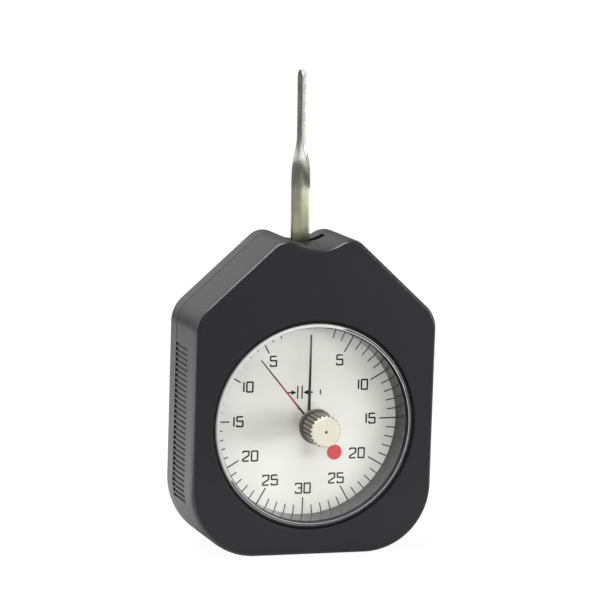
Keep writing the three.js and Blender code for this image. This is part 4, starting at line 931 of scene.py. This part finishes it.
class GAUGE_OT_casing(GaugeOperator, Operator):
    """Builds both covers of the casing"""

    bl_idname = "gauge.casing"
    bl_label = "Casing"

    def execute(self, context):
        """Both covers share one moulded finish."""
        size = settings("casing")
        material = moulded_abs(settings("finish"), size)
        shell, shades = front_cover_surface(size)
        build(
            "front_cover_moulding", [shell], material, "casing", ["front_cover"],
            shades=shades,
        )
        build(
            "rear_cover_moulding", rear_cover_surfaces(size), material, "casing",
            ["rear_cover"],
        )
        return {"FINISHED"}


SCREW_SLOT, SCREW_SLOT_DEPTH = 0.5 * MM, 0.4 * MM
SLOT_SHADE_SHARE = 0.12  # of the steel's paleness, what shows down in a screw's slot: painted shade and grime
TIP_ROUND, SEAT_ROUND, HEAD_ROUND = 0.2 * MM, 0.1 * MM, 0.45 * MM  # of a case screw


def cut_slot(piece, low, high, material):
    """Cuts a box out of a piece, for good, and finishes the faces that this opens."""
    corners = np.array([low, high])
    x, y, z = [corners[:, k] for k in range(3)]
    points = np.array([[(a, b, c) for a, c in zip(x[[0, 0, 1, 1]], z[[0, 1, 1, 0]])] for b in y])
    sides, faces = surface(points, wrap_columns=True)
    mesh = bpy.data.meshes.new("cutter")
    mesh.from_pydata(sides.tolist(), [], faces + [[3, 2, 1, 0], [4, 5, 6, 7]])
    mesh.materials.append(material)
    cutter = linked("cutter", mesh)
    modifier = piece.modifiers.new("slot", "BOOLEAN")
    modifier.operation = "DIFFERENCE"
    modifier.solver = "EXACT"
    modifier.material_mode = "TRANSFER"
    modifier.object = cutter
    bpy.context.view_layer.update()
    evaluated = piece.evaluated_get(bpy.context.evaluated_depsgraph_get())
    result = bpy.data.meshes.new_from_object(evaluated)
    piece.modifiers.clear()
    piece.data = result
    bpy.data.objects.remove(cutter)
    result.set_sharp_from_angle(angle=math.radians(SHARP_ANGLE))


class GAUGE_OT_case_screws(GaugeOperator, Operator):
    """Builds the four slotted screws in the back"""

    bl_idname = "gauge.case_screws"
    bl_label = "Case screws"

    def execute(self, context):
        """Each screw has a rounded head with a straight slot."""
        size = settings("casing")
        steel = settings("finish").steel
        material = turned_metal("zinc_plated_steel", steel, roughness=0.3)
        # Painted shade and grime: the slot's faces take a dark copy of the steel
        shade = [c * SLOT_SHADE_SHARE for c in steel]
        painted_shade = plain_finish("grimy_slot", shade, roughness=0.7, grit_mm=(0.2, 0.01))
        top = BACK - size.screw_sink
        seat = top - size.screw_depth
        shank, radius = size.screw_recess / 2, size.screw_head
        reach, half = size.screw_recess, SCREW_SLOT / 2
        for name, x, z, tip in case_screws():
            profile = fillet(
                [(0, tip), (shank, tip), (shank, seat), (radius, seat), (radius, top), (0, top)],
                [TIP_ROUND, 0, SEAT_ROUND, HEAD_ROUND],
            )
            piece = build(name + "_turned", [lathe(profile, x, z)], material, "casing", [name])
            cut_slot(
                piece,
                (x - reach, top - SCREW_SLOT_DEPTH, z - half),
                (x + reach, top + SCREW_SLOT_DEPTH, z + half),
                painted_shade,
            )
        return {"FINISHED"}


BUSH_WALL, BUSH_ROUND = 0.9 * MM, 0.15 * MM
SEAL_GAP = 0.1 * MM
RIM_LIT_SHARE = 0.35  # of the radius: how far left and up of the middle the rim's painted highlight covers it all over
RIM_LINE_SHARE = 0.26  # of the crystal's rounded rim, the width of each painted highlight line


def paint_rim(mesh, material, radius, bevel):
    """Gives a second material, the rim's painted highlight, to two rings of faces at the start and
    end of the rounded rim, and towards the light to the faces between them too."""
    mesh.materials.append(material)
    centres = np.empty(len(mesh.polygons) * 3)
    mesh.polygons.foreach_get("center", centres)
    x, _, z = centres.reshape(-1, 3).T
    z = z - AXIS_HEIGHT
    share = (radius - np.hypot(x, z)) / bevel
    lines = (share < RIM_LINE_SHARE) | (share > 1 - RIM_LINE_SHARE)
    lit = x * RIM_LIGHT[0] + z * RIM_LIGHT[2] > radius * RIM_LIT_SHARE
    mesh.polygons.foreach_set("material_index", ((share < 1) & (lines | lit)).astype(np.int32))


class GAUGE_OT_crystal(GaugeOperator, Operator):
    """Builds the crystal, its rubber seal and the bush in its middle"""

    bl_idname = "gauge.crystal"
    bl_label = "Crystal"

    def execute(self, context):
        """The crystal's front edge is rounded; the seal fills the gap to the casing."""
        size, colours = settings("dial"), settings("finish")
        bore = settings("knob").bore
        radius, hole = CRYSTAL_HIGH.x, bore + BUSH_WALL
        front, back = CRYSTAL_LOW.y, CRYSTAL_HIGH.y
        bevel = size.crystal_edge
        edge = [(radius - i, front + bevel - a) for i, a in rounding(bevel, steps=12)]
        profile = [(hole, front), *edge[::-1], (radius, back), (hole, back)]
        crystal = build(
            "crystal_disc",
            [lathe(profile, 0, AXIS_HEIGHT, FINE_SIDES, closed=True)],
            clear_acrylic(), "casing", ["crystal"],
        )
        # Painted highlight on the rim's rounded corners
        paint_rim(crystal.data, acrylic_rim(colours), radius, bevel)
        low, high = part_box("crystal_seal")
        inner, outer = radius + SEAL_GAP, high.x
        lip = (outer - inner) / 2
        profile = fillet(
            [(inner, high.y), (inner, low.y), (outer, low.y), (outer, high.y)], [lip, lip]
        )
        build(
            "crystal_seal_ring",
            [lathe(profile, 0, AXIS_HEIGHT, FINE_SIDES, closed=True)],
            plain_finish("nitrile_rubber", colours.seal, roughness=0.7, grit_mm=(0.3, 0.02)),
            "casing", ["crystal_seal"],
        )
        profile = fillet(
            [
                (bore, BUSH_LOW.y),
                (BUSH_HIGH.x, BUSH_LOW.y),
                (BUSH_HIGH.x, front),
                (hole - SEAL_GAP, front),
                (hole - SEAL_GAP, back),
                (bore, back),
            ],
            [BUSH_ROUND, 0, 0, 0],
        )
        build(
            "knob_bush_turned",
            [lathe(profile, 0, AXIS_HEIGHT, closed=True)],
            turned_metal("turned_brass", colours.brass, roughness=0.3),
            "casing", ["knob_bush"],
        )
        return {"FINISHED"}


DIAL_BORE, DIAL_THICKNESS = 1.2 * MM, 0.6 * MM
FIRST_TICK, LAST_TICK, LONG_EVERY = 3, 30, 5
UNIT_ANGLE = 6  # degrees
SET_IN_UNIT = 20  # the number that stands off the circle of numbers


def tick_strokes(size, front, face):
    """A tick that points at the axis for each unit on both sides of the top, longer at every fifth.
    Both sides share the last one, at the bottom."""
    ticks = []
    for unit in range(FIRST_TICK, LAST_TICK + 1):
        long = unit % LONG_EVERY == 0
        start = size.long_inner if long else size.short_inner
        width = size.long_width if long else size.tick_width
        for turn in {unit * UNIT_ANGLE, -unit * UNIT_ANGLE % 360}:
            along = np.array([-math.sin(math.radians(turn)), math.cos(math.radians(turn))])
            path = np.array([[0, AXIS_HEIGHT]]) + np.array([[start], [size.tick_outer]]) * along
            ticks += ribbon(path, width, front, face)
    return ticks


# The strokes of each digit, their points as shares of the digit's width and height
DIGIT_STROKE_SHARES = {
    "0": [[(0.5, 0), (1, 0), (1, 1), (0, 1), (0, 0), (0.5, 0)]],
    "1": [[(0, 1), (0, 0)]],
    "2": [[(0, 0.8), (0, 1), (1, 1), (1, 0.58), (0, 0.18), (0, 0), (1, 0)]],
    "3": [[(0, 0.8), (0, 1), (1, 1), (1, 0), (0, 0), (0, 0.2)], [(0.38, 0.53), (0.9, 0.53)]],
    "5": [[(1, 1), (0, 1), (0, 0.56), (1, 0.56), (1, 0), (0, 0), (0, 0.2)]],
}
BEND_SHARE = 0.09  # of a digit's width, the size of its bends
ONE_SHARE = 0.24  # of a digit's width, the room that a 1 takes


def number_strokes(text, x, z, size, front, back):
    """A number drawn in strokes of even width, its middle at x, z."""
    rooms = [size.number_width * (ONE_SHARE if digit == "1" else 1) for digit in text]
    left = x - (sum(rooms) + size.number_gap * (len(text) - 1)) / 2
    inset = size.number_stroke / 2
    span = np.array([size.number_width, size.number_height]) - size.number_stroke
    strokes = []
    for digit, room in zip(text, rooms):
        corner = np.array([left + inset, z - size.number_height / 2 + inset])
        for shares in DIGIT_STROKE_SHARES[digit]:
            bends = [BEND_SHARE * size.number_width] * (len(shares) - 2)
            path = fillet(corner + np.array(shares) * span, bends, steps=4)
            strokes += ribbon(path, size.number_stroke, front, back)
        left += room + size.number_gap
    return strokes


def number_place(unit, side, size):
    """Where the middle of a number lies: on a circle round the axis, turned from the top by its
    unit's angle. The 20s are set in a little."""
    turn, radius = side * math.radians(unit * UNIT_ANGLE), size.number_radius
    if unit == SET_IN_UNIT:
        turn, radius = side * size.twenty_angle, size.twenty_radius
    return radius * math.sin(turn), AXIS_HEIGHT + radius * math.cos(turn)


MARK_X, MARK_Z = -1.535 * MM, 7.0 * MM  # the division mark's middle, from the dial axis
MARK_HALF_GAP = 0.565 * MM
MARK_LINE_LOW, MARK_LINE_HIGH = 5.35 * MM, 8.68 * MM
MARK_LINE_WIDTH = 0.34 * MM
ARROW_LENGTH, ARROW_HEAD, ARROW_HALF = 2.6 * MM, 1.4 * MM, 0.62 * MM
ARROW_GAP = 0.27 * MM
MARK_DIGIT_X, MARK_DIGIT_HEIGHT = 3.83 * MM, 1.27 * MM


def division_mark(front, face):
    """Two lines one unit apart with an arrow pointing at each from outside, and a plain 1."""
    mark = []
    middle = AXIS_HEIGHT + MARK_Z
    for side in (-1, 1):
        x = MARK_X + side * MARK_HALF_GAP
        lines = [(x, AXIS_HEIGHT + MARK_LINE_LOW), (x, AXIS_HEIGHT + MARK_LINE_HIGH)]
        mark += ribbon(lines, MARK_LINE_WIDTH, front, face)
        tip = x + side * ARROW_GAP
        neck = tip + side * ARROW_HEAD
        end = tip + side * ARROW_LENGTH
        mark += ribbon([(neck, middle), (end, middle)], MARK_LINE_WIDTH, front, face)
        head = np.array([(tip, middle), (neck, middle - ARROW_HALF), (neck, middle + ARROW_HALF)])
        mark += plate(head, front, face)
    half = MARK_DIGIT_HEIGHT / 2
    digit = [(MARK_DIGIT_X, middle + half), (MARK_DIGIT_X, middle - half)]
    return mark + ribbon(digit, MARK_LINE_WIDTH, front, face)


class GAUGE_OT_dial(GaugeOperator, Operator):
    """Builds the dial plate and what is printed on it"""

    bl_idname = "gauge.dial"
    bl_label = "Dial"

    def execute(self, context):
        """The ink stands a hair above the plate, so that it is a shape of its own."""
        size, colours = settings("dial"), settings("finish")
        face, back = DIAL_LOW.y, DIAL_LOW.y + DIAL_THICKNESS
        build(
            "dial_disc",
            [flat_ring(DIAL_BORE, DIAL_HIGH.x, face, back, sides=FINE_SIDES)],
            plain_finish("stoved_enamel", colours.dial, roughness=0.5, spread=0.015, spot_mm=4.0),
            "casing", ["dial_plate"],
        )
        ink = plain_finish(
            "printing_ink", colours.ink, roughness=0.85, ior=1.2, spread=0.1, spot_mm=1.0
        )
        front = face - size.print_height
        build("dial_ticks", tick_strokes(size, front, face), ink, "casing")
        numbers = []
        for unit in range(LONG_EVERY, LAST_TICK + 1, LONG_EVERY):
            for side in (-1, 1) if unit < LAST_TICK else (1,):
                x, z = number_place(unit, side, size)
                numbers += number_strokes(str(unit), x, z, size, front, face)
        build("dial_numbers", numbers, ink, "casing")
        build("division_mark", division_mark(front, face), ink, "casing")
        return {"FINISHED"}


POINTER_THICKNESS = 0.3 * MM
POINTER_EYE, POINTER_BORE = 2.0 * MM, 1.2 * MM
MEMORY_EYE, MEMORY_BORE, MEMORY_TAIL_WIDTH = 2.2 * MM, 1.4 * MM, 0.6 * MM
DISC_BEVEL = 0.08 * MM
TAB_PLACE = 4.6 * MM  # the drive tab's distance from the axis


def bar(start, end, start_width, end_width, front, back):
    """A flat bar that points up, from one distance to another above the dial's axis, and tapers
    from its width at the start to its width at the end."""
    low, high = start_width / 2, end_width / 2
    outline = np.array([[-low, start], [low, start], [high, end], [-high, end]])
    return plate(outline + [0, AXIS_HEIGHT], front, back)


def finish_node(name, material):
    """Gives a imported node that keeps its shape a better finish."""
    node = frame["nodes"][name]
    node.data.materials.clear()
    node.data.materials.append(material)


class GAUGE_OT_main_pointer(GaugeOperator, Operator):
    """Builds the black main pointer and its hub"""

    bl_idname = "gauge.main_pointer"
    bl_label = "Main pointer"

    def execute(self, context):
        """The needle is a thin pressed blade on a turned hub."""
        size, colours = settings("dial"), settings("finish")
        lacquer = plain_finish("black_lacquer", colours.black, roughness=0.4)
        front, back = NEEDLE_LOW.y, NEEDLE_HIGH.y
        needle = bar(0, size.needle_reach, size.needle_root, size.needle_tip, front, back)
        build(
            "main_pointer_blade", [*needle, flat_ring(POINTER_BORE, POINTER_EYE, front, back)],
            lacquer, "pointer", ["main_pointer"],
        )
        finish_node("main_pointer_hub", lacquer)
        return {"FINISHED"}


class GAUGE_OT_memory_pointer(GaugeOperator, Operator):
    """Builds the red memory pointer with its disc and drive tab"""

    bl_idname = "gauge.memory_pointer"
    bl_label = "Memory pointer"

    def execute(self, context):
        """The pointer is drawn pointing up and then turned to where it rests."""
        size, colours = settings("dial"), settings("finish")
        front, back = MEMORY_LOW.y, MEMORY_LOW.y + POINTER_THICKNESS
        disc = [(0, front), (size.memory_disc, front), (size.memory_disc, back), (0, back)]
        tail, tail_width = size.memory_tail - size.memory_disc + 2 * DISC_BEVEL, MEMORY_TAIL_WIDTH
        tip = size.memory_tip
        surfaces = [
            *bar(0, size.memory_reach, size.memory_root, tip, front, back),
            *bar(-tail, -MEMORY_BORE, tail_width, tail_width, front, back),
            *bar(TAB_PLACE, TAB_PLACE + POINTER_THICKNESS, tip, tip, front, MEMORY_HIGH.y),
            lathe(fillet(disc, [DISC_BEVEL, DISC_BEVEL]), 0, AXIS_HEIGHT - size.memory_tail),
            flat_ring(MEMORY_BORE, MEMORY_EYE, front, back),
        ]
        surfaces = turned_left(surfaces, size.memory_angle, AXIS_HEIGHT)
        build(
            "memory_pointer_blade", surfaces, red_lacquer(colours, size),
            "reset", ["memory_pointer"],
        )
        oxide = plain_finish("black_oxide", colours.black, roughness=0.45, metallic=0.5)
        finish_node("memory_pointer_hub", oxide)
        return {"FINISHED"}


FLUTE_SIDES = 16  # points round each flute and its ridge
FLUTE_TURN = -2  # degrees: how far the first flute stands from the right
RIDGE_SHARE = 0.35  # of the flutes' pitch, the flat of a ridge
FLUTE_END_RUN = 0.2 * MM  # along the knob, where a flute sinks into the groove
DIMPLE_DEPTH, DIMPLE_EDGE = 0.3 * MM, 0.05 * MM
KNOB_BEVEL = 0.15 * MM  # of its end face and its collar
BORE_END = 1.4 * MM  # metal left between the bore and the end face


def knob_surface(size):
    """The knob from its end face to its collar: rings whose radius dips in each flute, a bevel at
    the end face, a groove above the collar, and the bore for the stem."""
    radius = size.radius
    end_edge = radius - size.chamfer - size.depth / 2
    face, base = KNOB_LOW.y, KNOB_HIGH.y
    collar_front = base - size.collar_height
    flute_end = collar_front - size.neck_height
    columns = size.flutes * FLUTE_SIDES
    turn = np.linspace(0, 2 * math.pi, columns, endpoint=False) + math.radians(FLUTE_TURN)
    wave = (np.arange(columns) % FLUTE_SIDES) / FLUTE_SIDES
    dip = np.clip((np.abs(wave - 0.5) * 2 - RIDGE_SHARE) / (1 - RIDGE_SHARE), 0, 1)
    fluted = radius - size.depth * np.sin(dip * math.pi / 2)
    # Each ring's radius and depth, and whether the flutes cut into it
    rows = [
        (0, face + DIMPLE_DEPTH, 0),
        (size.dimple, face + DIMPLE_DEPTH, 0),
        (size.dimple, face, 0),
        (size.dimple + DIMPLE_EDGE, face, 0),
        (end_edge - KNOB_STEP, face, 0),
        (end_edge, face, 0),
        (end_edge + size.chamfer / 2, face + KNOB_BEVEL, 1),
        (radius, face + KNOB_BEVEL + size.chamfer, 1),
        (radius, flute_end - FLUTE_END_RUN, 1),
        (radius - size.depth, flute_end, 0),
        (radius - size.depth, collar_front, 0),
        (size.collar - KNOB_BEVEL, collar_front, 0),
        (size.collar, collar_front + KNOB_BEVEL, 0),
        (size.collar, base - KNOB_BEVEL, 0),
        (size.collar - KNOB_BEVEL, base, 0),
        (size.bore, base, 0),
        (size.bore, face + BORE_END, 0),
        (0, face + BORE_END, 0),
    ]
    radii = np.array(
        [np.minimum(r, fluted) if share else np.full(columns, float(r)) for r, _, share in rows]
    )
    depth = np.array([[y] * columns for _, y, _ in rows])
    points = np.stack([radii * np.cos(turn), depth, AXIS_HEIGHT + radii * np.sin(turn)], axis=-1)
    return surface(points, wrap_columns=True)


class GAUGE_OT_reset_knob(GaugeOperator, Operator):
    """Builds the fluted reset knob"""

    bl_idname = "gauge.reset_knob"
    bl_label = "Reset knob"

    def execute(self, context):
        """The knob hides its stem and washer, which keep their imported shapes."""
        size = settings("knob")
        satin = satin_knob(settings("finish"), size)
        build("reset_knob_turned", [knob_surface(size)], satin, "reset", ["reset_knob"])
        return {"FINISHED"}


BLADE_FRONT = 3.45 * MM  # the depth of its front face
TWIST_ROWS, TIP_ROWS, FOOT_ROWS = 40, 14, 12
RIDGE_POINTS, CORNER_POINTS = 9, 6  # of a section
TIP_LEAST_SHARE = 0.12  # of the blade's width, what is left at the very tip
EDGE_LIMIT_SHARE = 0.9  # of half a section's width, the most that its edge's rounding takes
NARROW_POINTS = [*range(3, 9), *range(15, 21)]  # of a section: the halves of its narrow sides' corners
FOOT_SHARE = 0.9  # of the eye's radius, where the blade's foot starts


def blade_section(width, thickness, edge, ridge):
    """A rounded rectangle's points: right edge first, then the back, left and front, where a low
    ridge may rise along the middle."""
    x, y = width / 2 - edge, thickness / 2 - edge
    quarters = np.radians([-90, 0, 90, 180])
    turns = [np.linspace(a, a + math.pi / 2, CORNER_POINTS) for a in quarters]
    centres = [(x, -y), (x, y), (-x, y), (-x, -y)]
    corners = [
        np.stack([cx + edge * np.cos(t), cy + edge * np.sin(t)], axis=-1)
        for (cx, cy), t in zip(centres, turns)
    ]
    across = np.linspace(-1, 1, RIDGE_POINTS + 2)[1:-1]
    front = np.stack([x * across, -thickness / 2 - ridge * (1 - np.abs(across))], axis=-1)
    return np.concatenate([*corners, front])


def blade_surface(size):
    """The lever's blade: a rounded rectangle carried upwards, turned a quarter by a curve that
    starts and ends gently, with its width closing round a half circle at the tip. A ridge rises
    along its front as it nears the twist and sinks again by the twist's end."""
    middle = BLADE_FRONT + size.thickness / 2
    start, end = AXIS_HEIGHT + size.twist_start, AXIS_HEIGHT + size.twist_end
    radius = size.top_width / 2
    base = LEVER_TOP - radius
    share = np.linspace(0, 1, TWIST_ROWS)
    eased = share**2 * (3 - 2 * share)
    lift = np.linspace(0, math.acos(TIP_LEAST_SHARE), TIP_ROWS)
    low = ARBOR_HEIGHT + size.eye * FOOT_SHARE
    foot = np.linspace(AXIS_HEIGHT + size.ridge_start, start - GUARD, FOOT_ROWS)
    heights = np.concatenate(
        [[low], foot, start + (end - start) * share, [base - GUARD], base + radius * np.sin(lift)]
    )
    widths = np.concatenate(
        [
            [size.width] * (FOOT_ROWS + 1),
            size.width + (size.top_width - size.width) * eased,
            [size.top_width],
            size.top_width * np.cos(lift),
        ]
    )
    twists = np.concatenate([[0] * (FOOT_ROWS + 1), eased, [1], np.ones(TIP_ROWS)]) * math.pi / 2
    risen = np.sin(np.linspace(0, math.pi / 2, FOOT_ROWS)) ** 2
    ridges = size.ridge * np.concatenate([[0], risen, 1 - eased, [0], np.zeros(TIP_ROWS)])
    rings = []
    for height, width, twist, ridge in zip(heights, widths, twists, ridges):
        edge = min(size.edge, width / 2 * EDGE_LIMIT_SHARE)
        u, v = blade_section(width, size.thickness, edge, ridge).T
        x = u * math.cos(twist) + v * math.sin(twist)
        y = middle - u * math.sin(twist) + v * math.cos(twist)
        rings.append(np.stack([x, y, np.full(len(x), height)], axis=-1))
    points = np.array(rings)
    skin = surface(points, wrap_columns=True)
    caps = [(points[k], [list(range(points.shape[1]))]) for k in (0, -1)]
    sides = np.zeros(points.shape[:2])
    sides[:, NARROW_POINTS] = (twists / twists[-1])[:, None]
    return [skin, *caps], sides


class GAUGE_OT_lever(GaugeOperator, Operator):
    """Builds the measuring lever"""

    bl_idname = "gauge.lever"
    bl_label = "Measuring lever"

    def execute(self, context):
        """The blade grows out of its eye, which sits on the arbor inside the casing."""
        size = settings("lever")
        back = BLADE_FRONT + size.thickness
        ring = flat_ring(size.eye_bore, size.eye, BLADE_FRONT, back, ARBOR_HEIGHT)
        blade, sides = blade_surface(size)
        surfaces = turned_left([*blade, ring], size.lean, ARBOR_HEIGHT)
        build(
            "measuring_lever_blade", surfaces,
            nickel_plate(settings("finish"), AXIS_HEIGHT + size.twist_start),
            "lever", ["measuring_lever"], shades=[("side", sides)],
        )
        return {"FINISHED"}


REBUILT = {"knob_bush"} | {name for name, *_ in case_screws()}


class GAUGE_OT_movement(GaugeOperator, Operator):
    """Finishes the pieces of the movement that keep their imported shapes"""

    bl_idname = "gauge.movement"
    bl_label = "Movement"

    def execute(self, context):
        """Brass and steel, by the slot that the record gives each node."""
        colours = settings("finish")
        finishes = {
            "brass": turned_metal("sawn_brass", colours.brass, roughness=0.35),
            "steel": turned_metal("drawn_steel", colours.steel, roughness=0.32),
        }
        for subpart in frame["record"]["subparts"]:
            slot = subpart["material_slot"]
            if slot in finishes and subpart["node"] not in REBUILT:
                finish_node(subpart["node"], finishes[slot])
        return {"FINISHED"}


# Stage

CAMERA_YAW, CAMERA_PITCH, CAMERA_ROLL = 18.2388, 8.2299, 1.7879  # degrees
CAMERA_PLACE = Vector((-258.953, -782.543, 181.824)) * MM
CAMERA_LENS, SENSOR = 199.66, 36  # millimetres
NEAREST_SEEN = 0.01
FLOOR_SIZE = 8.0
# Depths on the table, from the part: the white round it, the glow behind it and its far end
TABLE_FRONT, TABLE_GLOW, TABLE_FULL, TABLE_END, TABLE_FADE = 0.06, 0.01, 0.06, 0.5, 0.1
SHEET_MIDDLE, SHEET_HALF = 0.57, 0.16  # of the white sheet in front
TABLE_DARK, TABLE_WHITE = (0.04, 0.04, 0.04, 1), (0.7, 0.7, 0.7, 1)
GLOW_STRENGTH = 0.95
SEEN_STRENGTH = 1.06  # of the table as the eye sees it: a little past white, so that it is even
SEEN_SHARE = 0.9  # round the part, where the rest lets its shadow show
# The world's light behind the part on each side, in front of it and at the horizon
BEHIND_RIGHT, BEHIND_LEFT, IN_FRONT, HORIZON = 0.45, 1.3, 0.14, 0.25
# Where that light changes, along X, Z and Y of the direction that it comes from
RIGHT_END, LEFT_END = 0.25, -0.15
HORIZON_TOP = 0.2
FRONT_END, BACK_END = -0.2, 0.3
# Each lamp's place, target and size in millimetres, and its watts
LAMPS = {
    "key": ((-130, -930, 110), (0, 0, 35), (350, 350), 2.5),
    "right": ((640, -700, 120), (0, 0, 35), (450, 200), 2.8),
    "top": ((-200, -190, 760), (0, 0, 45), (900, 220), 6),
}


def camera_turn():
    """The camera's rotation: looking along +Y, then yawed to the right, pitched down and rolled."""
    yaw, pitch, roll = [math.radians(a) for a in (CAMERA_YAW, CAMERA_PITCH, CAMERA_ROLL)]
    level = Matrix(((1, 0, 0), (0, 0, -1), (0, 1, 0)))
    yawed = Matrix.Rotation(yaw, 3, "Z")
    pitched = Matrix.Rotation(pitch, 3, "X")
    rolled = Matrix.Rotation(roll, 3, "Z")
    right, down, ahead = rolled @ level @ pitched @ yawed
    return Matrix((right, -down, -ahead)).transposed()


def add_camera():
    """The camera that sees the part as the photograph does."""
    data = bpy.data.cameras.new("camera")
    data.sensor_width = SENSOR
    data.lens = CAMERA_LENS
    data.clip_start = NEAREST_SEEN
    camera = linked("camera", data)
    camera.matrix_world = Matrix.Translation(CAMERA_PLACE) @ camera_turn().to_4x4()
    bpy.context.scene.camera = camera


def add_lamp(name, place_mm, target_mm, size_mm, watts):
    """A flat soft lamp that faces a point, its long side level."""
    data = bpy.data.lights.new(name, "AREA")
    data.shape = "RECTANGLE"
    data.size, data.size_y = size_mm[0] * MM, size_mm[1] * MM
    data.energy = watts
    lamp = linked(name, data)
    lamp.location = Vector(place_mm) * MM
    way = Vector(target_mm) * MM - lamp.location
    lamp.rotation_euler = way.to_track_quat("-Z", "Y").to_euler()
    return lamp


def white_floor():
    """A white table: pure white to the eye but for a faint shadow. What the part mirrors of it is
    white round the part, glows close behind it and less and less further back, and is dark in
    front and beyond but for a white sheet that lies further in front."""
    material, tree, place = new_material("white_table")
    depth = add(tree, "SeparateXYZ", {"Vector": place}).outputs["Y"]
    far = TABLE_END + TABLE_FADE
    ahead = add(
        tree,
        "MapRange",
        {"Value": depth, "From Min": -TABLE_FRONT - TABLE_FADE, "From Max": -TABLE_FRONT},
    )
    beyond = add(tree, "MapRange", {"Value": depth, "From Min": far, "From Max": TABLE_END})
    near = add(tree, "Math", {0: ahead, 1: beyond}, operation="MULTIPLY")
    sheet = add(
        tree, "Math", {0: depth, 1: -SHEET_MIDDLE, 2: SHEET_HALF}, operation="COMPARE"
    )
    white = add(tree, "Math", {0: near, 1: sheet}, operation="MAXIMUM")
    shade = add(tree, "MixRGB", {"Fac": white, "Color1": TABLE_DARK, "Color2": TABLE_WHITE})
    behind = add(
        tree,
        "MapRange",
        {"Value": depth, "From Min": TABLE_GLOW, "From Max": TABLE_FULL, "To Max": GLOW_STRENGTH},
    )
    fading = add(tree, "MapRange", {"Value": depth, "From Min": far, "From Max": TABLE_FULL})
    strength = add(tree, "Math", {0: behind, 1: fading}, operation="MULTIPLY")
    paint = add(tree, "BsdfDiffuse", {"Color": shade})
    glow = add(tree, "Emission", {"Color": WHITE, "Strength": strength})
    lit = add(tree, "AddShader", {0: paint, 1: glow})
    seen = add(tree, "Emission", {"Color": WHITE, "Strength": SEEN_STRENGTH})
    to_eye = add(tree, "LightPath").outputs["Is Camera Ray"]
    whiteness = add(tree, "MapRange", {"Value": near, "To Min": 1.0, "To Max": SEEN_SHARE})
    share = add(tree, "Math", {0: to_eye, 1: whiteness}, operation="MULTIPLY")
    return finished(material, add(tree, "MixShader", {0: share, 1: lit, 2: seen}))


def add_world():
    """White to the camera. What lights the part is bright behind it on the left, dim behind it on
    the right and near the horizon, and dim in front."""
    world = bpy.data.worlds.new("studio")
    bpy.context.scene.world = world
    world.use_nodes = True
    tree = world.node_tree
    tree.nodes.clear()
    way = add(tree, "SeparateXYZ", {"Vector": add(tree, "TexCoord").outputs["Generated"]})
    left = add(
        tree,
        "MapRange",
        {
            "Value": way.outputs["X"],
            "From Min": RIGHT_END,
            "From Max": LEFT_END,
            "To Min": BEHIND_RIGHT,
            "To Max": BEHIND_LEFT,
        },
    )
    above = add(
        tree, "MapRange", {"Value": way.outputs["Z"], "From Max": HORIZON_TOP, "To Min": HORIZON}
    )
    upper_left = add(tree, "Math", {0: left, 1: above}, operation="MULTIPLY")
    behind = add(
        tree, "MapRange", {"Value": way.outputs["Y"], "From Min": FRONT_END, "From Max": BACK_END}
    )
    level = add(tree, "Mix", {"Factor": behind, "A": IN_FRONT, "B": upper_left})
    light = add(tree, "Background", {"Color": WHITE, "Strength": level})
    backdrop = add(tree, "Background", {"Color": WHITE, "Strength": 1.0})
    to_eye = add(tree, "LightPath").outputs["Is Camera Ray"]
    mix = add(tree, "MixShader", {0: to_eye, 1: light, 2: backdrop})
    add(tree, "OutputWorld", {"Surface": mix})


class GAUGE_OT_stage(GaugeOperator, Operator):
    """Adds the floor, the lamps, the world and the camera"""

    bl_idname = "gauge.stage"
    bl_label = "Stage"

    def execute(self, context):
        """A white table, lit softly from the front, the right and above. Glossy surfaces don't mirror
        the front lamp."""
        half = FLOOR_SIZE / 2
        mesh = bpy.data.meshes.new("floor")
        corners = [(-half, -half, 0), (half, -half, 0), (half, half, 0), (-half, half, 0)]
        mesh.from_pydata(corners, [], [[0, 1, 2, 3]])
        mesh.materials.append(white_floor())
        floor = linked("floor", mesh)
        lamps = {name: add_lamp(name, *values) for name, values in LAMPS.items()}
        lamps["key"].visible_glossy = False
        add_world()
        add_camera()
        bpy.context.scene.view_settings.view_transform = "Standard"
        return {"FINISHED"}


# Registration

GROUPS = {
    "casing": CasingSizes,
    "dial": DialSizes,
    "knob": KnobSizes,
    "lever": LeverSizes,
    "finish": FinishColours,
}
OPERATORS = (
    GAUGE_OT_casing,
    GAUGE_OT_case_screws,
    GAUGE_OT_crystal,
    GAUGE_OT_dial,
    GAUGE_OT_main_pointer,
    GAUGE_OT_memory_pointer,
    GAUGE_OT_reset_knob,
    GAUGE_OT_lever,
    GAUGE_OT_movement,
    GAUGE_OT_stage,
)


class GAUGE_PT_panel(Panel):
    """Lists the steps that build the gauge"""

    bl_idname = "GAUGE_PT_panel"
    bl_label = "Dial tension gauge"
    bl_space_type = "VIEW_3D"
    bl_region_type = "UI"
    bl_category = "Gauge"

    def draw(self, context):
        """One button for each operator."""
        for operator in OPERATORS:
            self.layout.operator(operator.bl_idname)


def register():
    """Registers every class and hangs the groups on the scene."""
    for cls in (*GROUPS.values(), *OPERATORS, GAUGE_PT_panel):
        bpy.utils.register_class(cls)
    for name, group in GROUPS.items():
        setattr(bpy.types.Scene, "gauge_" + name, PointerProperty(type=group))


def unregister():
    """Takes away what register added."""
    for name in GROUPS:
        delattr(bpy.types.Scene, "gauge_" + name)
    for cls in (GAUGE_PT_panel, *OPERATORS[::-1], *GROUPS.values()):
        bpy.utils.unregister_class(cls)


def main():
    """Builds everything in order."""
    register()
    for operator in OPERATORS:
        group, name = operator.bl_idname.split(".")
        getattr(getattr(bpy.ops, group), name)()


if __name__ == "__main__":
    main()
